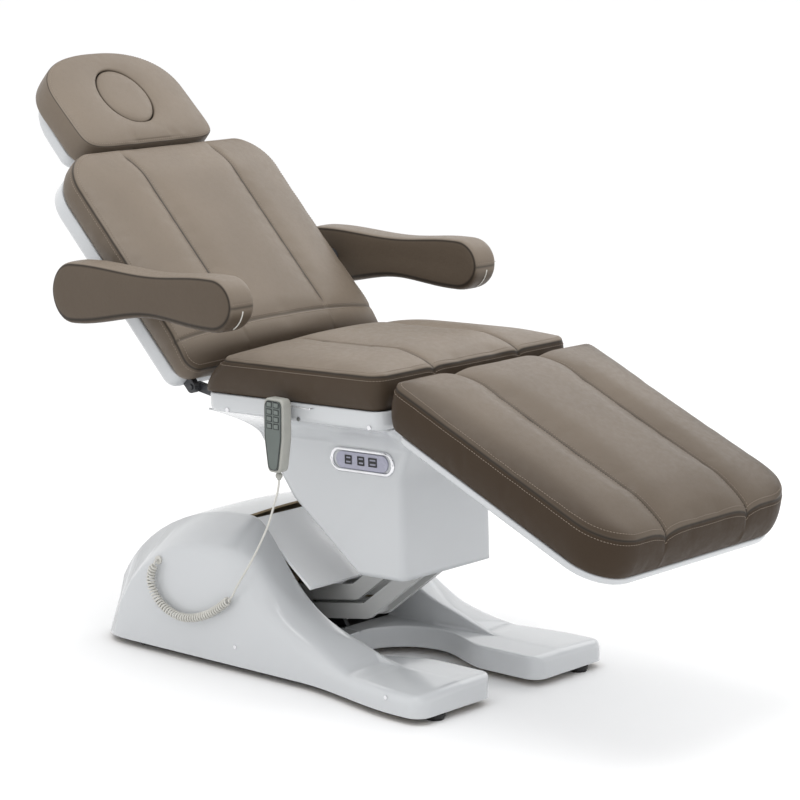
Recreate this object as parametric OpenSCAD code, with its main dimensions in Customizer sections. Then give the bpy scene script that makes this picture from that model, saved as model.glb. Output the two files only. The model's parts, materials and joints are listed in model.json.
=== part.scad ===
// Facial treatment bed on a moulded base: motor lift, seat tilt, back rest, leg rest, headrest and armrests.
// Millimetres. +X points to the foot end, +Y to the left of a person lying on it, +Z up, floor at z = 0.

/* [Bed] */
// Full width of the leg cushion
bed_w = 600; // [590:2:604]
// Tilt of the seat, front edge up
seat_tilt = 2; // [0:0.5:3]
// Slope of the back rest from flat
back_angle = 45.5; // [40:0.5:48]
// Slope of the headrest from flat
head_angle = 43; // [40:0.5:47]
// Slope of the leg rest below flat
leg_angle = 24; // [15:1:35]

/* [Cushions] */
// Edge height of the seat cushion
seat_h = 66; // [60:1:70]
// Rise of the seat cushion's middle above its edge
seat_crown = 34; // [24:1:38]
// Edge height of the back cushion
back_h = 59; // [54:1:62]
// Edge height of the leg cushion
leg_h = 70; // [64:1:74]
// Edge height of the headrest cushion
head_h = 64; // [60:1:66]
// Distance of the sewn channels from the middle
channel_y = 100; // [90:1:110]
// Depth of the sewn channels
channel_depth = 9; // [5:0.5:11]

/* [Base] */
// Height of the hump of the base cover
hump_h = 303; // [296:1:306]
// Height of the front legs of the base cover
leg_top = 62; // [58:1:66]
// Half width of the slot in the hump
slot_half_w = 145; // [143:1:148]
// Wall of the moulded covers
wall = 5; // [4:0.5:6]

/* [Handset cord] */
// Diameter of the cord
cord_d = 4.4; // [4:0.1:4.6]
// Radius of the curls at the middle of the cord
curl_r = 7; // [6:0.25:7.5]
// Count of curls
curls = 44; // [30:1:46]

/* [Hidden] */
$fn = 48;
fit = 0.05;
// Pivot of the seat tilt on the carriage
tilt_pivot = [10, 0, 440];
// Lower pivots of the arm and the link, and the upper ones when the bed stands as drawn
arm_low = [-230, 0, 120];
arm_knee = [-40, 0, 150];
arm_high = [119, 0, 275];
link_shift = [30, 0, -35];
// Hinges of the back and of the leg rest, with the seat level
back_hinge_level = [-280, 0, 584];
leg_hinge_level = [289, 0, 556];
back_hinge = seat_point(back_hinge_level);
leg_hinge = seat_point(leg_hinge_level);
// Hinge of the headrest, in the frame of the flat back
head_hinge = [-572, 0, -12];
head_x = -125;
face_x = -119;
face_l = 76;
face_w = 65;
// Axle of the armrests, in the frame of the flat back
arm_axle = [-265, 0, -4];
axle_r = 12;
pin_r = 6;
arm_pin_r = 10;
// Seat, level
seat_z = 586;
tray_z = 548;
seat_x0 = -208;
seat_x1 = 268;
seat_half_w = bed_w / 2 - 9;
// Rails of the frames lie between these distances from the middle
rail_y0 = 226;
rail_y1 = 252;
// Arms and links of the lift, and the plates beside them
lift_y0 = 20;
lift_y1 = 34;
bracket_y0 = 36;
bracket_y1 = 46;
plate_y0 = 98;
plate_y1 = 110;
// Motors and their rods
rod_r = 6.6;
motor_r = 22;
back_rod_y = -45;
leg_rod_y = 45;
lever_pin_r = 6;
lift_lever = arm_low + [-5, 0, 85];
lift_motor_foot = [-470, 0, 140];
back_lever = [47.4, 0, -76.5];
leg_lever = [47, 0, -52];
back_rod_z = 502;
leg_rod_z = 496.5;
tilt_lever_level = [130, 0, 440];
tilt_lever = seat_point(tilt_lever_level);
// Hump of the cover: the ridge and the crease of the cheeks are quarter ellipses behind this place
hump_x = -230;
slot_x = -222;
hump_rear = 392;
crease_rear = 300;
crease_h = 250;
base_front = 355;
base_half_w = 246;
leg_flare = 45;
foot_h = 14;
feet = [[336, 223], [-470, 200]];
// Handset, hanging beside the seat
handset_x = 12;
handset_z0 = 452;
handset_z1 = 598;
handset_back = -299;
handset_front = -325;
key_w = 11;
key_h = 8;
key_gap = 0.3;
key_rows = [586, 572, 558, 544];
key_cols = [3, 21];
// Cord: grommet in the hump, then the middle of the curls, then the straight lead up to the handset
cord_y = -259;
grommet = [-390, -246, 200];
cord_exit = [-390, -249, 200];
curl_route = [for (p = [[-390, 193], [-397, 180], [-402, 160], [-396, 138], [-378, 117], [-350, 102],
    [-318, 95], [-284, 98], [-246, 110], [-208, 131], [-176, 155]]) [p[0], cord_y, p[1]]];
cord_join = [-170, cord_y, 161];
relief = [14, -312, 444.5];
lead_route = [cord_join, [-166, cord_y, 166], [-150, -263, 188], [-128, -268, 214], [-98, -275, 250],
    [-66, -283, 292], [-36, -291, 336], [-14, -299, 376], [4, -306, 410], [12, -311, 428],
    [14, -312, 436.5]];
// The middle of the bed's length is over the origin
bed_shift = 30.6;

// A point of the level seat, after the seat is tilted
function seat_point(p) = tilt_pivot
    + [(p.x - tilt_pivot.x) * cos(seat_tilt) - (p.z - tilt_pivot.z) * sin(seat_tilt), p.y,
       (p.x - tilt_pivot.x) * sin(seat_tilt) + (p.z - tilt_pivot.z) * cos(seat_tilt)];
function smooth(t) = let (u = max(0, min(1, t))) u * u * (3 - 2 * u);
function mix(a, b, t) = a + (b - a) * t;
function unit(v) = v / norm(v);

module at_seat()
    translate(tilt_pivot) rotate([0, -seat_tilt, 0]) translate(-tilt_pivot) children();
module at_back()
    translate(back_hinge) rotate([0, back_angle, 0]) children();
module at_head()
    at_back() translate(head_hinge) rotate([0, head_angle - back_angle, 0]) children();
module at_leg()
    translate(leg_hinge) rotate([0, leg_angle, 0]) children();
module place()
    translate([bed_shift, 0, 0]) children();
module both_sides() {
    children();
    mirror([0, 1, 0]) children();
}

// Shape drawn in X and Z, from y0 to y1
module side_plate(y0, y1)
    translate([0, y1, 0]) rotate([90, 0, 0]) linear_extrude(y1 - y0) children();
// Round bar across the bed at p
module cross_bar(p, r, y0, y1)
    translate([p.x, y1, p.z]) rotate([90, 0, 0]) cylinder(r = r, h = y1 - y0);
// Flat link with round ends between p and q
module link(p, q, r, y0, y1) {
    reach = norm(q - p);
    slope = atan2(q.z - p.z, q.x - p.x);
    side_plate(y0, y1) translate([p.x, p.z]) rotate(slope) {
        circle(r);
        translate([reach, 0]) circle(r);
        translate([0, -r]) square([reach, 2 * r]);
    }
}
// Box between two corners
module box(low, high)
    translate(low) cube(high - low);

// Plan outline with round corners: half width w0 and corner r0 at x0, w1 and r1 at x1
function corner_arc(x, y, r, from) = [for (a = [0:15:90]) [x + r * cos(from + a), y + r * sin(from + a)]];
function plan(x0, x1, w0, w1, r0, r1) = concat(
    corner_arc(x1 - r1, -w1 + r1, r1, 270), corner_arc(x1 - r1, w1 - r1, r1, 0),
    corner_arc(x0 + r0, w0 - r0, r0, 90), corner_arc(x0 + r0, -w0 + r0, r0, 180));
// Tray that is open at the top
module pan(x0, x1, w0, w1, r0, r1, z0, z1)
    difference() {
        translate([0, 0, z0]) linear_extrude(z1 - z0) polygon(plan(x0, x1, w0, w1, r0, r1));
        translate([0, 0, z0 + wall]) linear_extrude(z1 - z0)
            polygon(plan(x0 + wall, x1 - wall, w0 - wall, w1 - wall, max(r0 - wall, 3), max(r1 - wall, 3)));
    }

// Skin through rings with the same count of points, each counted anticlockwise as seen from the last ring
module loft(rings, closed = false) {
    n = len(rings[0]);
    m = len(rings);
    first = n * m;
    last = first + 1;
    middle = [for (r = [rings[0], rings[m - 1]]) [for (p = r) 1] * r / n];
    sides = [for (i = [0:closed ? m - 1 : m - 2], j = [0:n - 1])
        let (k = (j + 1) % n, a = i * n, b = (i + 1) % m * n)
        each [[a + j, b + k, a + k], [a + j, b + j, b + k]]];
    caps = [for (j = [0:n - 1]) let (k = (j + 1) % n, b = (m - 1) * n)
        each [[first, j, k], [last, b + k, b + j]]];
    points = [for (r = rings) each r, if (!closed) each middle];
    polyhedron(points, closed ? sides : concat(sides, caps), convexity = 6);
}

// Cushion
// A pad lies flat with its underside at z = 0. Its sides are drawn in between two seams, its top is crowned,
// and each channel is a groove along its length between the places from and to. With lean, its first end
// slopes up from a thin edge over that length.
function pad_half_w(d0, d1, w, r0, r1) = w
    - (d0 < r0 ? r0 - sqrt(r0 * r0 - (r0 - d0) * (r0 - d0)) : 0)
    - (d1 < r1 ? r1 - sqrt(r1 * r1 - (r1 - d1) * (r1 - d1)) : 0);
function groove(y, x, from, to) = channel_depth * max(0, 1 - abs(abs(y) - channel_y) / 12)
    * smooth((x - from) / 30) * smooth((to - x) / 30);
function pad_ring(x, w, h, crown, from, to) =
    let (edge = min(22, 0.2 * w),
        tops = [w - edge * 0.35, w - edge, mix(channel_y, w, 0.55), channel_y + 13, channel_y,
            channel_y - 13, 30],
        high = [for (y = tops) let (v = min(y, w - edge * 0.3))
            [v, h + crown * (1 - pow(v / w, 3)) - groove(v, x, from, to)]],
        half = concat([[w - 9, 0], [w - 2, 0.12 * h], [w - 6, 0.55 * h], [w, h - 2]], high))
    concat([for (p = half) [x, p[0], p[1]]], [for (i = [len(half) - 1:-1:0]) [x, -half[i][0], half[i][1]]]);
module pad(x0, x1, w0, w1, r0, r1, h, crown, from, to, lean = 0) {
    turns = [0, 12, 30, 55, 90];
    xs = concat([for (a = turns) x0 + max(r0, 30) * (1 - cos(a))], lean > 0 ? [x0 + lean] : [],
        [for (t = [0.25:0.25:0.75]) mix(x0 + max(r0, 30), x1 - max(r1, 30), t)],
        [for (i = [4:-1:0]) x1 - max(r1, 30) * (1 - cos(turns[i]))]);
    loft([for (i = [0:len(xs) - 1])
        let (x = xs[i], end = min(x - x0, x1 - x),
            w = pad_half_w(x - x0, x1 - x, mix(w0, w1, (x - x0) / (x1 - x0)), r0, r1),
            low = x - x0 < lean ? 0.12 + 0.88 * pow((x - x0) / lean, 0.8) : end < 0.01 ? 0.82 : 1)
        pad_ring(x, max(w, 40), h * low, crown * smooth(end / 150), from, to)]);
}

// Base
// Half outline of the cover across the bed: outer wall, crease of the cheek, ridge beside the slot
function floor_half_w(x) = x > -480 ? base_half_w + leg_flare * smooth(x / 300)
    : base_half_w * sqrt(max(0.02, 1 - pow((-480 - x) / 145, 3)));
function front_share(x) = max(0, (x - slot_x) / 360);
function ridge_z(x) = x < hump_x ? hump_h * sqrt(max(0.0004, 1 - pow((hump_x - x) / hump_rear, 2)))
    : leg_top + (hump_h - leg_top) / (1 + pow(front_share(x) / 0.36, 2.2)) * (1 - smooth((x - 60) / 190))
        - 6 * smooth(front_share(x) - 0.4);
function crease_z(x) = x < hump_x ? crease_h * sqrt(max(0.0004, 1 - pow((hump_x - x) / crease_rear, 2)))
    : max(leg_top, leg_top + (crease_h - leg_top) * (1 - pow(front_share(x), 2)));
function crease_y(x) = min(floor_half_w(x), slot_half_w + 8 + 94 * smooth((150 - x) / 400));
function side_z(x) = x < hump_x ? 0.85 * crease_z(x)
    : mix(leg_top - 6, 0.85 * crease_h, pow(max(0, 1 - front_share(x)), 1.5));
function cheek(x, t) = let (w = floor_half_w(x) - t, s = min(slot_half_w + t, w - 8), top = ridge_z(x) - t,
        low = t > 0 ? foot_h - 2 : foot_h)
    [[w, low], [w, max(low + 8, side_z(x) - t)], [max(crease_y(x) - t, s + 4), max(low + 9, crease_z(x) - t)],
     [s + 9, max(low + 10, top)], [s, max(low + 9, top - 5)], [s, low]];
function hump(x, t) = let (c = cheek(x, t), half = [c[0], c[1], c[2], c[3], [0.5 * c[3][0], c[3][1] + 3]])
    concat(half, [for (i = [len(half) - 1:-1:0]) [-half[i][0], half[i][1]]]);
module slice(x, pts)
    translate([x, 0, 0]) rotate([90, 0, 90]) linear_extrude(0.01) polygon(pts);
module rear_form(t) {
    xs = concat([for (a = [4, 9, 15, 22, 30, 40, 50, 60]) hump_x - hump_rear * cos(a)], [-300, slot_x]);
    for (i = [0:len(xs) - 2])
        hull() {
            slice(xs[i] + t, hump(xs[i], t));
            slice(xs[i + 1] + t, hump(xs[i + 1], t));
        }
}
module front_form(t) {
    xs = [slot_x - 1, -195, -168, -140, -110, -80, -40, 0, 50, 110, 170, 240, 300, base_front - 30];
    for (i = [0:len(xs) - 2])
        hull() {
            slice(xs[i], cheek(xs[i], t));
            slice(xs[i + 1], cheek(xs[i + 1], t));
        }
}
// Front leg: widens inwards to its toe and ends in a round nose
module leg_form(t) {
    nose = 32;
    low = t > 0 ? foot_h - 2 : foot_h;
    translate([0, 0, low]) hull() {
        for (y = [70 + nose, floor_half_w(base_front) - nose])
            translate([base_front - nose, y, 0]) cylinder(r = nose - t, h = leg_top - 8 - t - low, $fn = 32);
        translate([base_front - nose - 4, 84 + t, 0]) cube([4, 190 - 2 * t, leg_top - 1 - t - low]);
        translate([150, 120 + t, 0]) cube([4, 120 - t, leg_top - t - low]);
        translate([180, 72 + t, 0]) cube([4, 60, leg_top - 4 - t - low]);
    }
}
module base_form(t) {
    rear_form(t);
    both_sides() {
        front_form(t);
        leg_form(t);
    }
}
// Round opening between the legs
module leg_opening(grow) {
    translate([62, 0, 0]) cylinder(r = 118 + grow, h = 90);
    side = [for (x = [62:16:222]) [x, 66 + grow + 52 * (1 - smooth((x - 62) / 160))]];
    far = [[base_front + 10, 66 + grow], [base_front + 10, -66 - grow]];
    linear_extrude(90) polygon(concat(side, far, [for (i = [len(side) - 1:-1:0]) [side[i].x, -side[i].y]]));
}
module base_cover() color("white") {
    pan_x = -118;
    pan_top = 58;
    difference() {
        union() {
            base_form(0);
            box([pan_x, -slot_half_w - 3, foot_h], [190, slot_half_w + 3, pan_top]);
        }
        difference() {
            union() {
                base_form(wall);
                box([pan_x - 100, -slot_half_w - wall - 1, 0], [190, slot_half_w + wall + 1, pan_top - wall]);
            }
            leg_opening(wall);
        }
        leg_opening(0);
        // Open flank of the slot, where the arms pass
        box([slot_x + 4, -slot_half_w - 12, pan_top - 6], [-85, slot_half_w + 12, 290]);
        translate([grommet.x, grommet.y + 20, grommet.z]) rotate([90, 0, 0]) cylinder(r = 6.5, h = 40);
        translate([-640, 0, 48]) rotate([0, 90, 0]) cylinder(r = 9, h = 60);
    }
}
module base_frame() color("dimgray") {
    z0 = 18;
    z1 = 48;
    difference() {
        union() {
            both_sides() {
                box([-520, 170, z0], [330, 200, z1]);
                side_plate(bracket_y0, bracket_y1) polygon([[-300, z0], [-125, z0], [-125, z1], [-172, 108],
                    [-206, 146], [-252, 146], [-262, 120], [-300, z1]]);
                for (p = feet)
                    translate([p.x, p.y > 200 ? 200 : 185, z0]) box([-25, -15, 0], [9, p.y - 170, 4]);
            }
            for (x = [-520, -300, -165])
                box([x, -170, z0], [x + 40, 170, z1]);
            // Foot of the lift motor
            both_sides() side_plate(26, 34) polygon([[-500, z0], [-440, z0], [-455, 150], [-485, 150]]);
        }
        for (p = [arm_low, arm_low + link_shift])
            cross_bar(p, arm_pin_r, -150, 150);
        cross_bar(lift_motor_foot, lever_pin_r + fit, -60, 60);
    }
}
module foot_pads() color("black")
    both_sides() for (p = feet)
        translate([p.x, p.y, 0]) {
            cylinder(r1 = 17, r2 = 20, h = 6);
            translate([0, 0, 6]) cylinder(r = 20, h = 6);
            translate([0, 0, 12]) cylinder(r = 6, h = 6);
        }
module cover_screws() color("silver")
    for (p = [[-174, 54], [269, 44]])
        both_sides() translate([p.x, floor_half_w(p.x), p[1]]) rotate([-90, 0, 0]) {
            cylinder(r = 4, h = 1.6);
        }
module base_pins() color("silver")
    both_sides() for (p = [arm_low, arm_low + link_shift])
        cross_bar(p, arm_pin_r, lift_y0 - 1, bracket_y1 + 2);
module control_box() color("tan") {
    box([-470, 50, 48], [-330, 150, 120]);
    for (y = [65:14:135])
        translate([-330, y, 70]) rotate([0, 90, 0]) cylinder(r = 4, h = 10);
}
module cord_grommet() color("dimgray")
    translate([grommet.x, grommet.y, grommet.z]) rotate([90, 0, 0]) {
        cylinder(r = 9, h = 3);
        translate([0, 0, -6]) cylinder(r = 6, h = 6);
    }
module mains_gland() color("dimgray")
    translate([-628, 0, 48]) rotate([0, 90, 0]) {
        cylinder(r = 12, h = 5);
        translate([0, 0, 5]) cylinder(r = 8, h = 20);
    }

// Motors: a tube with a bore for the rod, a gear case and a barrel beside it, along +X from the open end
module motor_tube(len, bore) {
    difference() {
        union() {
            cross_x(motor_r, 0, len);
            box([len - 60, -motor_r + 4, 0], [len, motor_r - 4, 46]);
        }
        cross_x(rod_r + fit, -1, bore);
    }
    translate([0, 0, 46]) cross_x(17, len - 56, len + 20);
}
module cross_x(r, x0, x1)
    translate([x0, 0, 0]) rotate([0, 90, 0]) cylinder(r = r, h = x1 - x0);
// Upright slot with round ends, or a circle where its height is none
module slot_shape(r, half_h) {
    if (half_h > 0) {
        for (z = [-half_h, half_h])
            translate([0, z]) circle(r);
        translate([-r, -half_h]) square([2 * r, 2 * half_h]);
    } else {
        circle(r);
    }
}
// Rod along +X with its eye at the origin
module rod(length, slot_r, slot_half_h, eye_w)
    difference() {
        union() {
            side_plate(-eye_w, eye_w) slot_shape(slot_r + 6, slot_half_h);
            cross_x(rod_r, 0, length);
        }
        side_plate(-eye_w - 8, eye_w + 8) slot_shape(slot_r, slot_half_h);
    }
module at_lift_motor() {
    way = lift_motor_foot - lift_lever;
    translate(lift_lever) rotate([0, -atan2(way.z, way.x), 0]) children();
}
module lift_motor() color("black") {
    reach = norm(lift_motor_foot - lift_lever);
    lift_bore = reach - 22;
    difference() {
        union() {
            at_lift_motor() translate([105, 0, 0]) {
                cross_x(motor_r, 0, reach - 125);
                rotate([180, 0, 0]) {
                    box([60, -motor_r + 4, 0], [reach - 125, motor_r - 4, 40]);
                    translate([0, 0, 40]) cross_x(17, 20, reach - 125);
                }
            }
            link(lift_motor_foot, mix(lift_motor_foot, lift_lever, 0.12), 12, -14, 14);
        }
        at_lift_motor() cross_x(rod_r + fit, 104, lift_bore);
        cross_bar(lift_motor_foot, lever_pin_r + fit, -60, 60);
    }
    cross_bar(lift_motor_foot, lever_pin_r, -36, 36);
}
module lift_rod() color("silver")
    at_lift_motor() rod(165, lever_pin_r + 6.5, 0, 8.5);

// Lift
module arm_pair(shift) {
    low = arm_low + shift;
    knee = arm_knee + shift;
    high = arm_high + shift;
    both_sides() difference() {
        union() {
            link(low, knee, 16, lift_y0, lift_y1);
            link(knee, high, 16, lift_y0, lift_y1);
        }
        cross_bar(low, arm_pin_r + fit, lift_y0 - 1, lift_y1 + 1);
        cross_bar(high, arm_pin_r + fit, lift_y0 - 1, lift_y1 + 1);
    }
}
module lift_arms() color("dimgray") {
    arm_pair([0, 0, 0]);
    tie = mix(arm_low, arm_knee, 0.3);
    cross_bar(tie, 13, -lift_y0, lift_y0);
    eye = [lift_lever.x, lift_lever.z];
    both_sides() side_plate(10, 18)
        polygon([[tie.x - 10, tie.z], [tie.x + 11, tie.z], eye + [12, 4], eye + [-4, 12], eye + [-12, 0]]);
    cross_bar(lift_lever, lever_pin_r, -18, 18);
}
module lift_links() color("dimgray") {
    arm_pair(link_shift);
    cross_bar(arm_knee + link_shift, 12, -lift_y0, lift_y0);
}
module slot_plate() color("white") {
    top = [slot_x + 3, hump_h - 8];
    toe = [-62, 175];
    half = slot_half_w - 4;
    side_plate(-half, half) polygon([top, toe, toe - [3, 5], top - [3, 5]]);
    // Ribs that stand on the arms
    rise = unit([arm_knee.x - arm_low.x, arm_knee.z - arm_low.z]);
    seat = [arm_low.x, arm_low.z] + [-rise[1], rise[0]] * 16.01;
    both_sides() side_plate(lift_y0 + 3, lift_y1 - 3)
        polygon([seat + rise * 80, seat + rise * 155, toe - [3, 4], top + [14, -16]]);
}
module carriage() color("dimgray") {
    difference() {
        union() {
            both_sides() side_plate(plate_y0, plate_y1) polygon([[92, 240], [112, 222], [160, 222],
                [165, 250], [150, 312], [60, 452], [22, 464], [-8, 458], [-14, 440], [-4, 420], [80, 320]]);
            cross_bar([70, 0, 400], 13, -plate_y0, plate_y0);
            box([104, -plate_y0, 300], [152, plate_y0, 310]);
        }
        for (p = [arm_high, arm_high + link_shift])
            cross_bar(p, arm_pin_r, -150, 150);
        cross_bar(tilt_pivot, pin_r, -150, 150);
    }
}
module carriage_pins() color("silver")
    both_sides() {
        for (p = [arm_high, arm_high + link_shift])
            cross_bar(p, arm_pin_r, lift_y0 - 1, plate_y1);
        cross_bar(tilt_pivot, pin_r, plate_y0, 128);
    }
module tilt_motor() color("black") {
    difference() {
        translate([tilt_lever.x, 0, 310]) cylinder(r = 20, h = 88);
        translate([tilt_lever.x, 0, 322]) cylinder(r = rod_r + fit, h = 90);
    }
    translate([tilt_lever.x - 42, 0, 330]) cylinder(r = 17, h = 52);
    box([tilt_lever.x - 42, -12, 312], [tilt_lever.x - 12, 12, 330]);
}
module tilt_rod() color("silver")
    translate(tilt_lever) rotate([0, 90, 0]) rod(tilt_lever.z - 356, lever_pin_r + 4.5, 0, 8.5);

// Seat
module seat_frame() color("dimgray") at_seat() {
    rail_z0 = 555;
    rail_z1 = 580;
    difference() {
        union() {
            both_sides() {
                box([-190, rail_y0 - 26, rail_z0], [250, rail_y0 - 2, rail_z1]);
                link([-190, 0, 567], back_hinge_level, 9, rail_y0 - 2, rail_y0 + 10);
                link([250, 0, 562], leg_hinge_level, 9, rail_y0 - 2, rail_y0 + 10);
                side_plate(114, 126)
                    polygon([[-60, rail_z0], [80, rail_z0], [30, 432], [16, 424], [4, 424], [-10, 432]]);
                side_plate(12, 20) polygon([[112, rail_z0], [148, rail_z0], [142, 432], [118, 432]]);
            }
            for (x = [-190, -60, 112, 220])
                box([x, -rail_y0 + 26, rail_z0], [x + 36, rail_y0 - 26, rail_z1]);
            cross_bar(tilt_lever_level, lever_pin_r, -20, 20);
            // Hangers of the two motors
            for (m = [[-60, back_rod_y, back_rod_z], [112, leg_rod_y, leg_rod_z]])
                box([m.x, m.y - 10, m.z + motor_r - 1], [m.x + 30, m.y + 10, rail_z0]);
        }
        both_sides() {
            cross_bar(tilt_pivot, pin_r + fit, 113, 127);
            cross_bar(back_hinge_level, pin_r, rail_y0 - 3, rail_y0 + 11);
            cross_bar(leg_hinge_level, pin_r, rail_y0 - 3, rail_y0 + 11);
        }
        for (m = [[-61, back_rod_y, back_rod_z], [111, leg_rod_y, leg_rod_z]])
            translate(m) cross_x(motor_r, 0, 32);
    }
}
module hinge_pins() color("silver") at_seat()
    both_sides() for (p = [back_hinge_level, leg_hinge_level])
        cross_bar(p, pin_r, rail_y0 - 3, rail_y1 + 3);
module seat_tray() color("white") at_seat()
    difference() {
        pan(seat_x0 - 5, seat_x1 - 4, seat_half_w - 6, seat_half_w - 6, 26, 22, tray_z, seat_z);
        box([-160, -146, tray_z - 1], [214, 146, tray_z + wall + 1]);
        both_sides() {
            box([seat_x0 - 10, rail_y0 - 5, tray_z + 1], [seat_x0 + 12, rail_y1 + 5, seat_z + 1]);
            box([seat_x1 - 24, rail_y0 - 5, tray_z - 1], [seat_x1 + 5, rail_y1 + 5, seat_z + 1]);
        }
        box([205, leg_rod_y - 14, tray_z - 1], [seat_x1 + 5, leg_rod_y + 14, seat_z - 12]);
        box([seat_x0 - 10, back_rod_y - 14, tray_z - 1], [-150, back_rod_y + 14, seat_z - 12]);
    }
// Outer form of the shroud, or with t its inside: its side view cut with its section across the bed
module shroud_form(t, low) {
    top_half = seat_half_w - 19;
    half = 137;
    flare_z = 478;
    rear = t > 0 ? [[-400, tray_z], [-400, 477], [-300, 359]] : [[-213, tray_z], [-198, 477], [-113, 359]];
    section = [[half - t, low], [half - t, flare_z], [top_half - 1.6 * t, tray_z + 0.1]];
    intersection() {
        side_plate(-400, 400) polygon(concat([[t > 0 ? -20 : 60, low], [174 - t, low], [174 - t, 440],
            [256 - t, tray_z]], rear));
        rotate([90, 0, 90]) translate([0, 0, -450]) linear_extrude(900)
            polygon(concat(section, [for (i = [2:-1:0]) [-section[i][0], section[i][1]]]));
    }
}
module seat_shroud() color("white") at_seat()
    difference() {
        shroud_form(0, 221);
        shroud_form(wall, 200);
        box([150, leg_rod_y - 24, 455], [270, leg_rod_y + 24, tray_z + 1]);
    }
module seat_cushion() color([0.5, 0.45, 0.4]) at_seat()
    translate([0, 0, seat_z])
        pad(seat_x0, seat_x1, seat_half_w, seat_half_w, 34, 30, seat_h, seat_crown, -150, 330, 50);
module panel_bezel() color("silver") at_seat()
    difference() {
        panel_plate(84, 25, 4);
        panel_plate(76, 17, 6);
        for (x = [75 - 74, 75 + 74])
            cross_bar([x, 0, 451], 2.2, -150, -130);
    }
module panel_plate(half_l, r, depth)
    link([75 - half_l + r, 0, 451], [75 + half_l - r, 0, 451], r, -137 - depth, -137);
module panel_insert() color([0.6, 0.6, 0.68]) at_seat()
    panel_plate(68, 16.5, 3);
module bezel_screws() color("gray") at_seat()
    for (x = [75 - 80, 75 + 80])
        translate([x, -141, 451]) rotate([90, 0, 0]) cylinder(r = 2.5, h = 1.4);
module tray_screws() color("silver") at_seat()
    both_sides() for (x = [-146, 46, 228])
        translate([x, seat_half_w - 6, tray_z + 7]) rotate([-90, 0, 0]) cylinder(r = 4.5, h = 1.6);

// Motors under the seat
module back_motor() color("black") at_seat()
    translate([-130, back_rod_y, back_rod_z]) rotate([180, 0, 0]) motor_tube(190, 180);
module leg_motor() color("black") at_seat()
    translate([165, leg_rod_y, leg_rod_z]) rotate([0, 0, 180]) rotate([180, 0, 0]) motor_tube(150, 140);
module back_rod() color("silver") at_seat()
    translate([-304, back_rod_y, back_rod_z]) rod(284, lever_pin_r + 3, 10.5, 5);
module leg_rod() color("silver") at_seat()
    translate([307, leg_rod_y, leg_rod_z]) mirror([1, 0, 0]) rod(208, lever_pin_r + 3, 14, 5);

// Back rest, drawn flat with its hinge at the origin
module back_frame() color("dimgray") at_back() {
    difference() {
        union() {
            both_sides() {
                box([-490, rail_y0 - 16, -13], [-36, rail_y0 + 6, 9]);
                link([-60, 0, 0], [0, 0, 0], 12, rail_y0 + 12, rail_y1);
                box([-80, rail_y0, -10], [-40, rail_y1, 9]);
                link([-480, 0, -2], head_hinge, 11, 60, 72);
                cross_bar(head_hinge, 7, 60, 88);
                box([arm_axle.x - 20, rail_y0 + 6, -13], [arm_axle.x + 20, rail_y0 + 20, 9]);
                cross_bar(arm_axle, axle_r, rail_y0 + 20, 330);
            }
            for (x = [-490, -300, -80])
                box([x, -rail_y0 + 16, -13], [x + 28, rail_y0 - 16, 9]);
            for (y = [back_rod_y - 13, back_rod_y + 7])
                side_plate(y, y + 6) polygon([[-78, -10], [-54, 8], [back_lever.x + 9, back_lever.z + 2],
                    [back_lever.x - 2, back_lever.z - 9], [back_lever.x - 10, back_lever.z - 2]]);
            cross_bar(back_lever, lever_pin_r, back_rod_y - 13, back_rod_y + 13);
        }
        both_sides() cross_bar([0, 0, 0], pin_r + fit, rail_y0 + 11, rail_y1 + 1);
    }
}
module back_tray() color("white") at_back()
    difference() {
        pan(-548, -18, 285, 285, 84, 24, -28, 12);
        both_sides() {
            box([-40, rail_y0 - 6, -14], [0, rail_y1 + 4, 13]);
            box([-570, 56, -30], [-532, 92, 13]);
            cross_bar(arm_axle, axle_r + 3, 240, 300);
        }
        box([-84, back_rod_y - 18, -30], [0, back_rod_y + 18, 10]);
    }
module back_cushion() color([0.5, 0.45, 0.4]) at_back()
    translate([0, 0, 12]) pad(-552, -3, 291, 291, 88, 30, back_h, 30, -545, -55);
module arm_pad(side) {
    // Drawn for the left side. The outline swells at both ends, and its rings are smaller at the edges.
    rear = -532;
    front = -27;
    shares = [0, 0.012, 0.045, 0.1, 0.2, 0.36, 0.55, 0.72, 0.86, 0.94, 0.985, 1];
    half_h = [for (t = shares)
        (t < 0.55 ? 43 + 19 * smooth((0.55 - t) / 0.42) : 43 + 10 * smooth((t - 0.55) / 0.3))
        * round_end(t) * round_end(1 - t)];
    rows = [[331, 0.9], [335, 0.97], [346, 0.985], [385, 0.985], [396, 0.97], [400, 0.9]];
    rings = [for (r = rows) [
        for (i = [0:len(shares) - 1]) arm_point(rear, front, shares[i], -half_h[i] * r[1], r),
        for (i = [len(shares) - 2:-1:1]) arm_point(rear, front, shares[i], half_h[i] * r[1], r)]];
    mirror([0, side, 0]) loft([for (r = rings) [for (i = [len(r) - 1:-1:0]) r[i]]]);
}
function round_end(t) = sqrt(max(0.02, 1 - pow(max(0, (0.11 - t) / 0.11), 2)));
function arm_point(rear, front, t, up, row) = let (centre = (rear + front) / 2, x = mix(rear, front, t))
    [centre + (x - centre) * (0.97 + 0.03 * (row[1] - 0.9) / 0.085), row[0],
        mix(761, 777, smooth(t / 0.6)) + up];
module arm_pad_left() color([0.45, 0.4, 0.36]) arm_pad(0);
module arm_pad_right() color([0.45, 0.4, 0.36]) arm_pad(1);
module arm_stay() {
    place = back_hinge + [arm_axle.x * cos(back_angle) + arm_axle.z * sin(back_angle), 0,
        -arm_axle.x * sin(back_angle) + arm_axle.z * cos(back_angle)];
    difference() {
        link(place, place + [40, 0, 2], 20, 318, 330.5);
        cross_bar(place, axle_r + fit, 300, 340);
    }
}
module arm_stay_left() color("dimgray") arm_stay();
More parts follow.
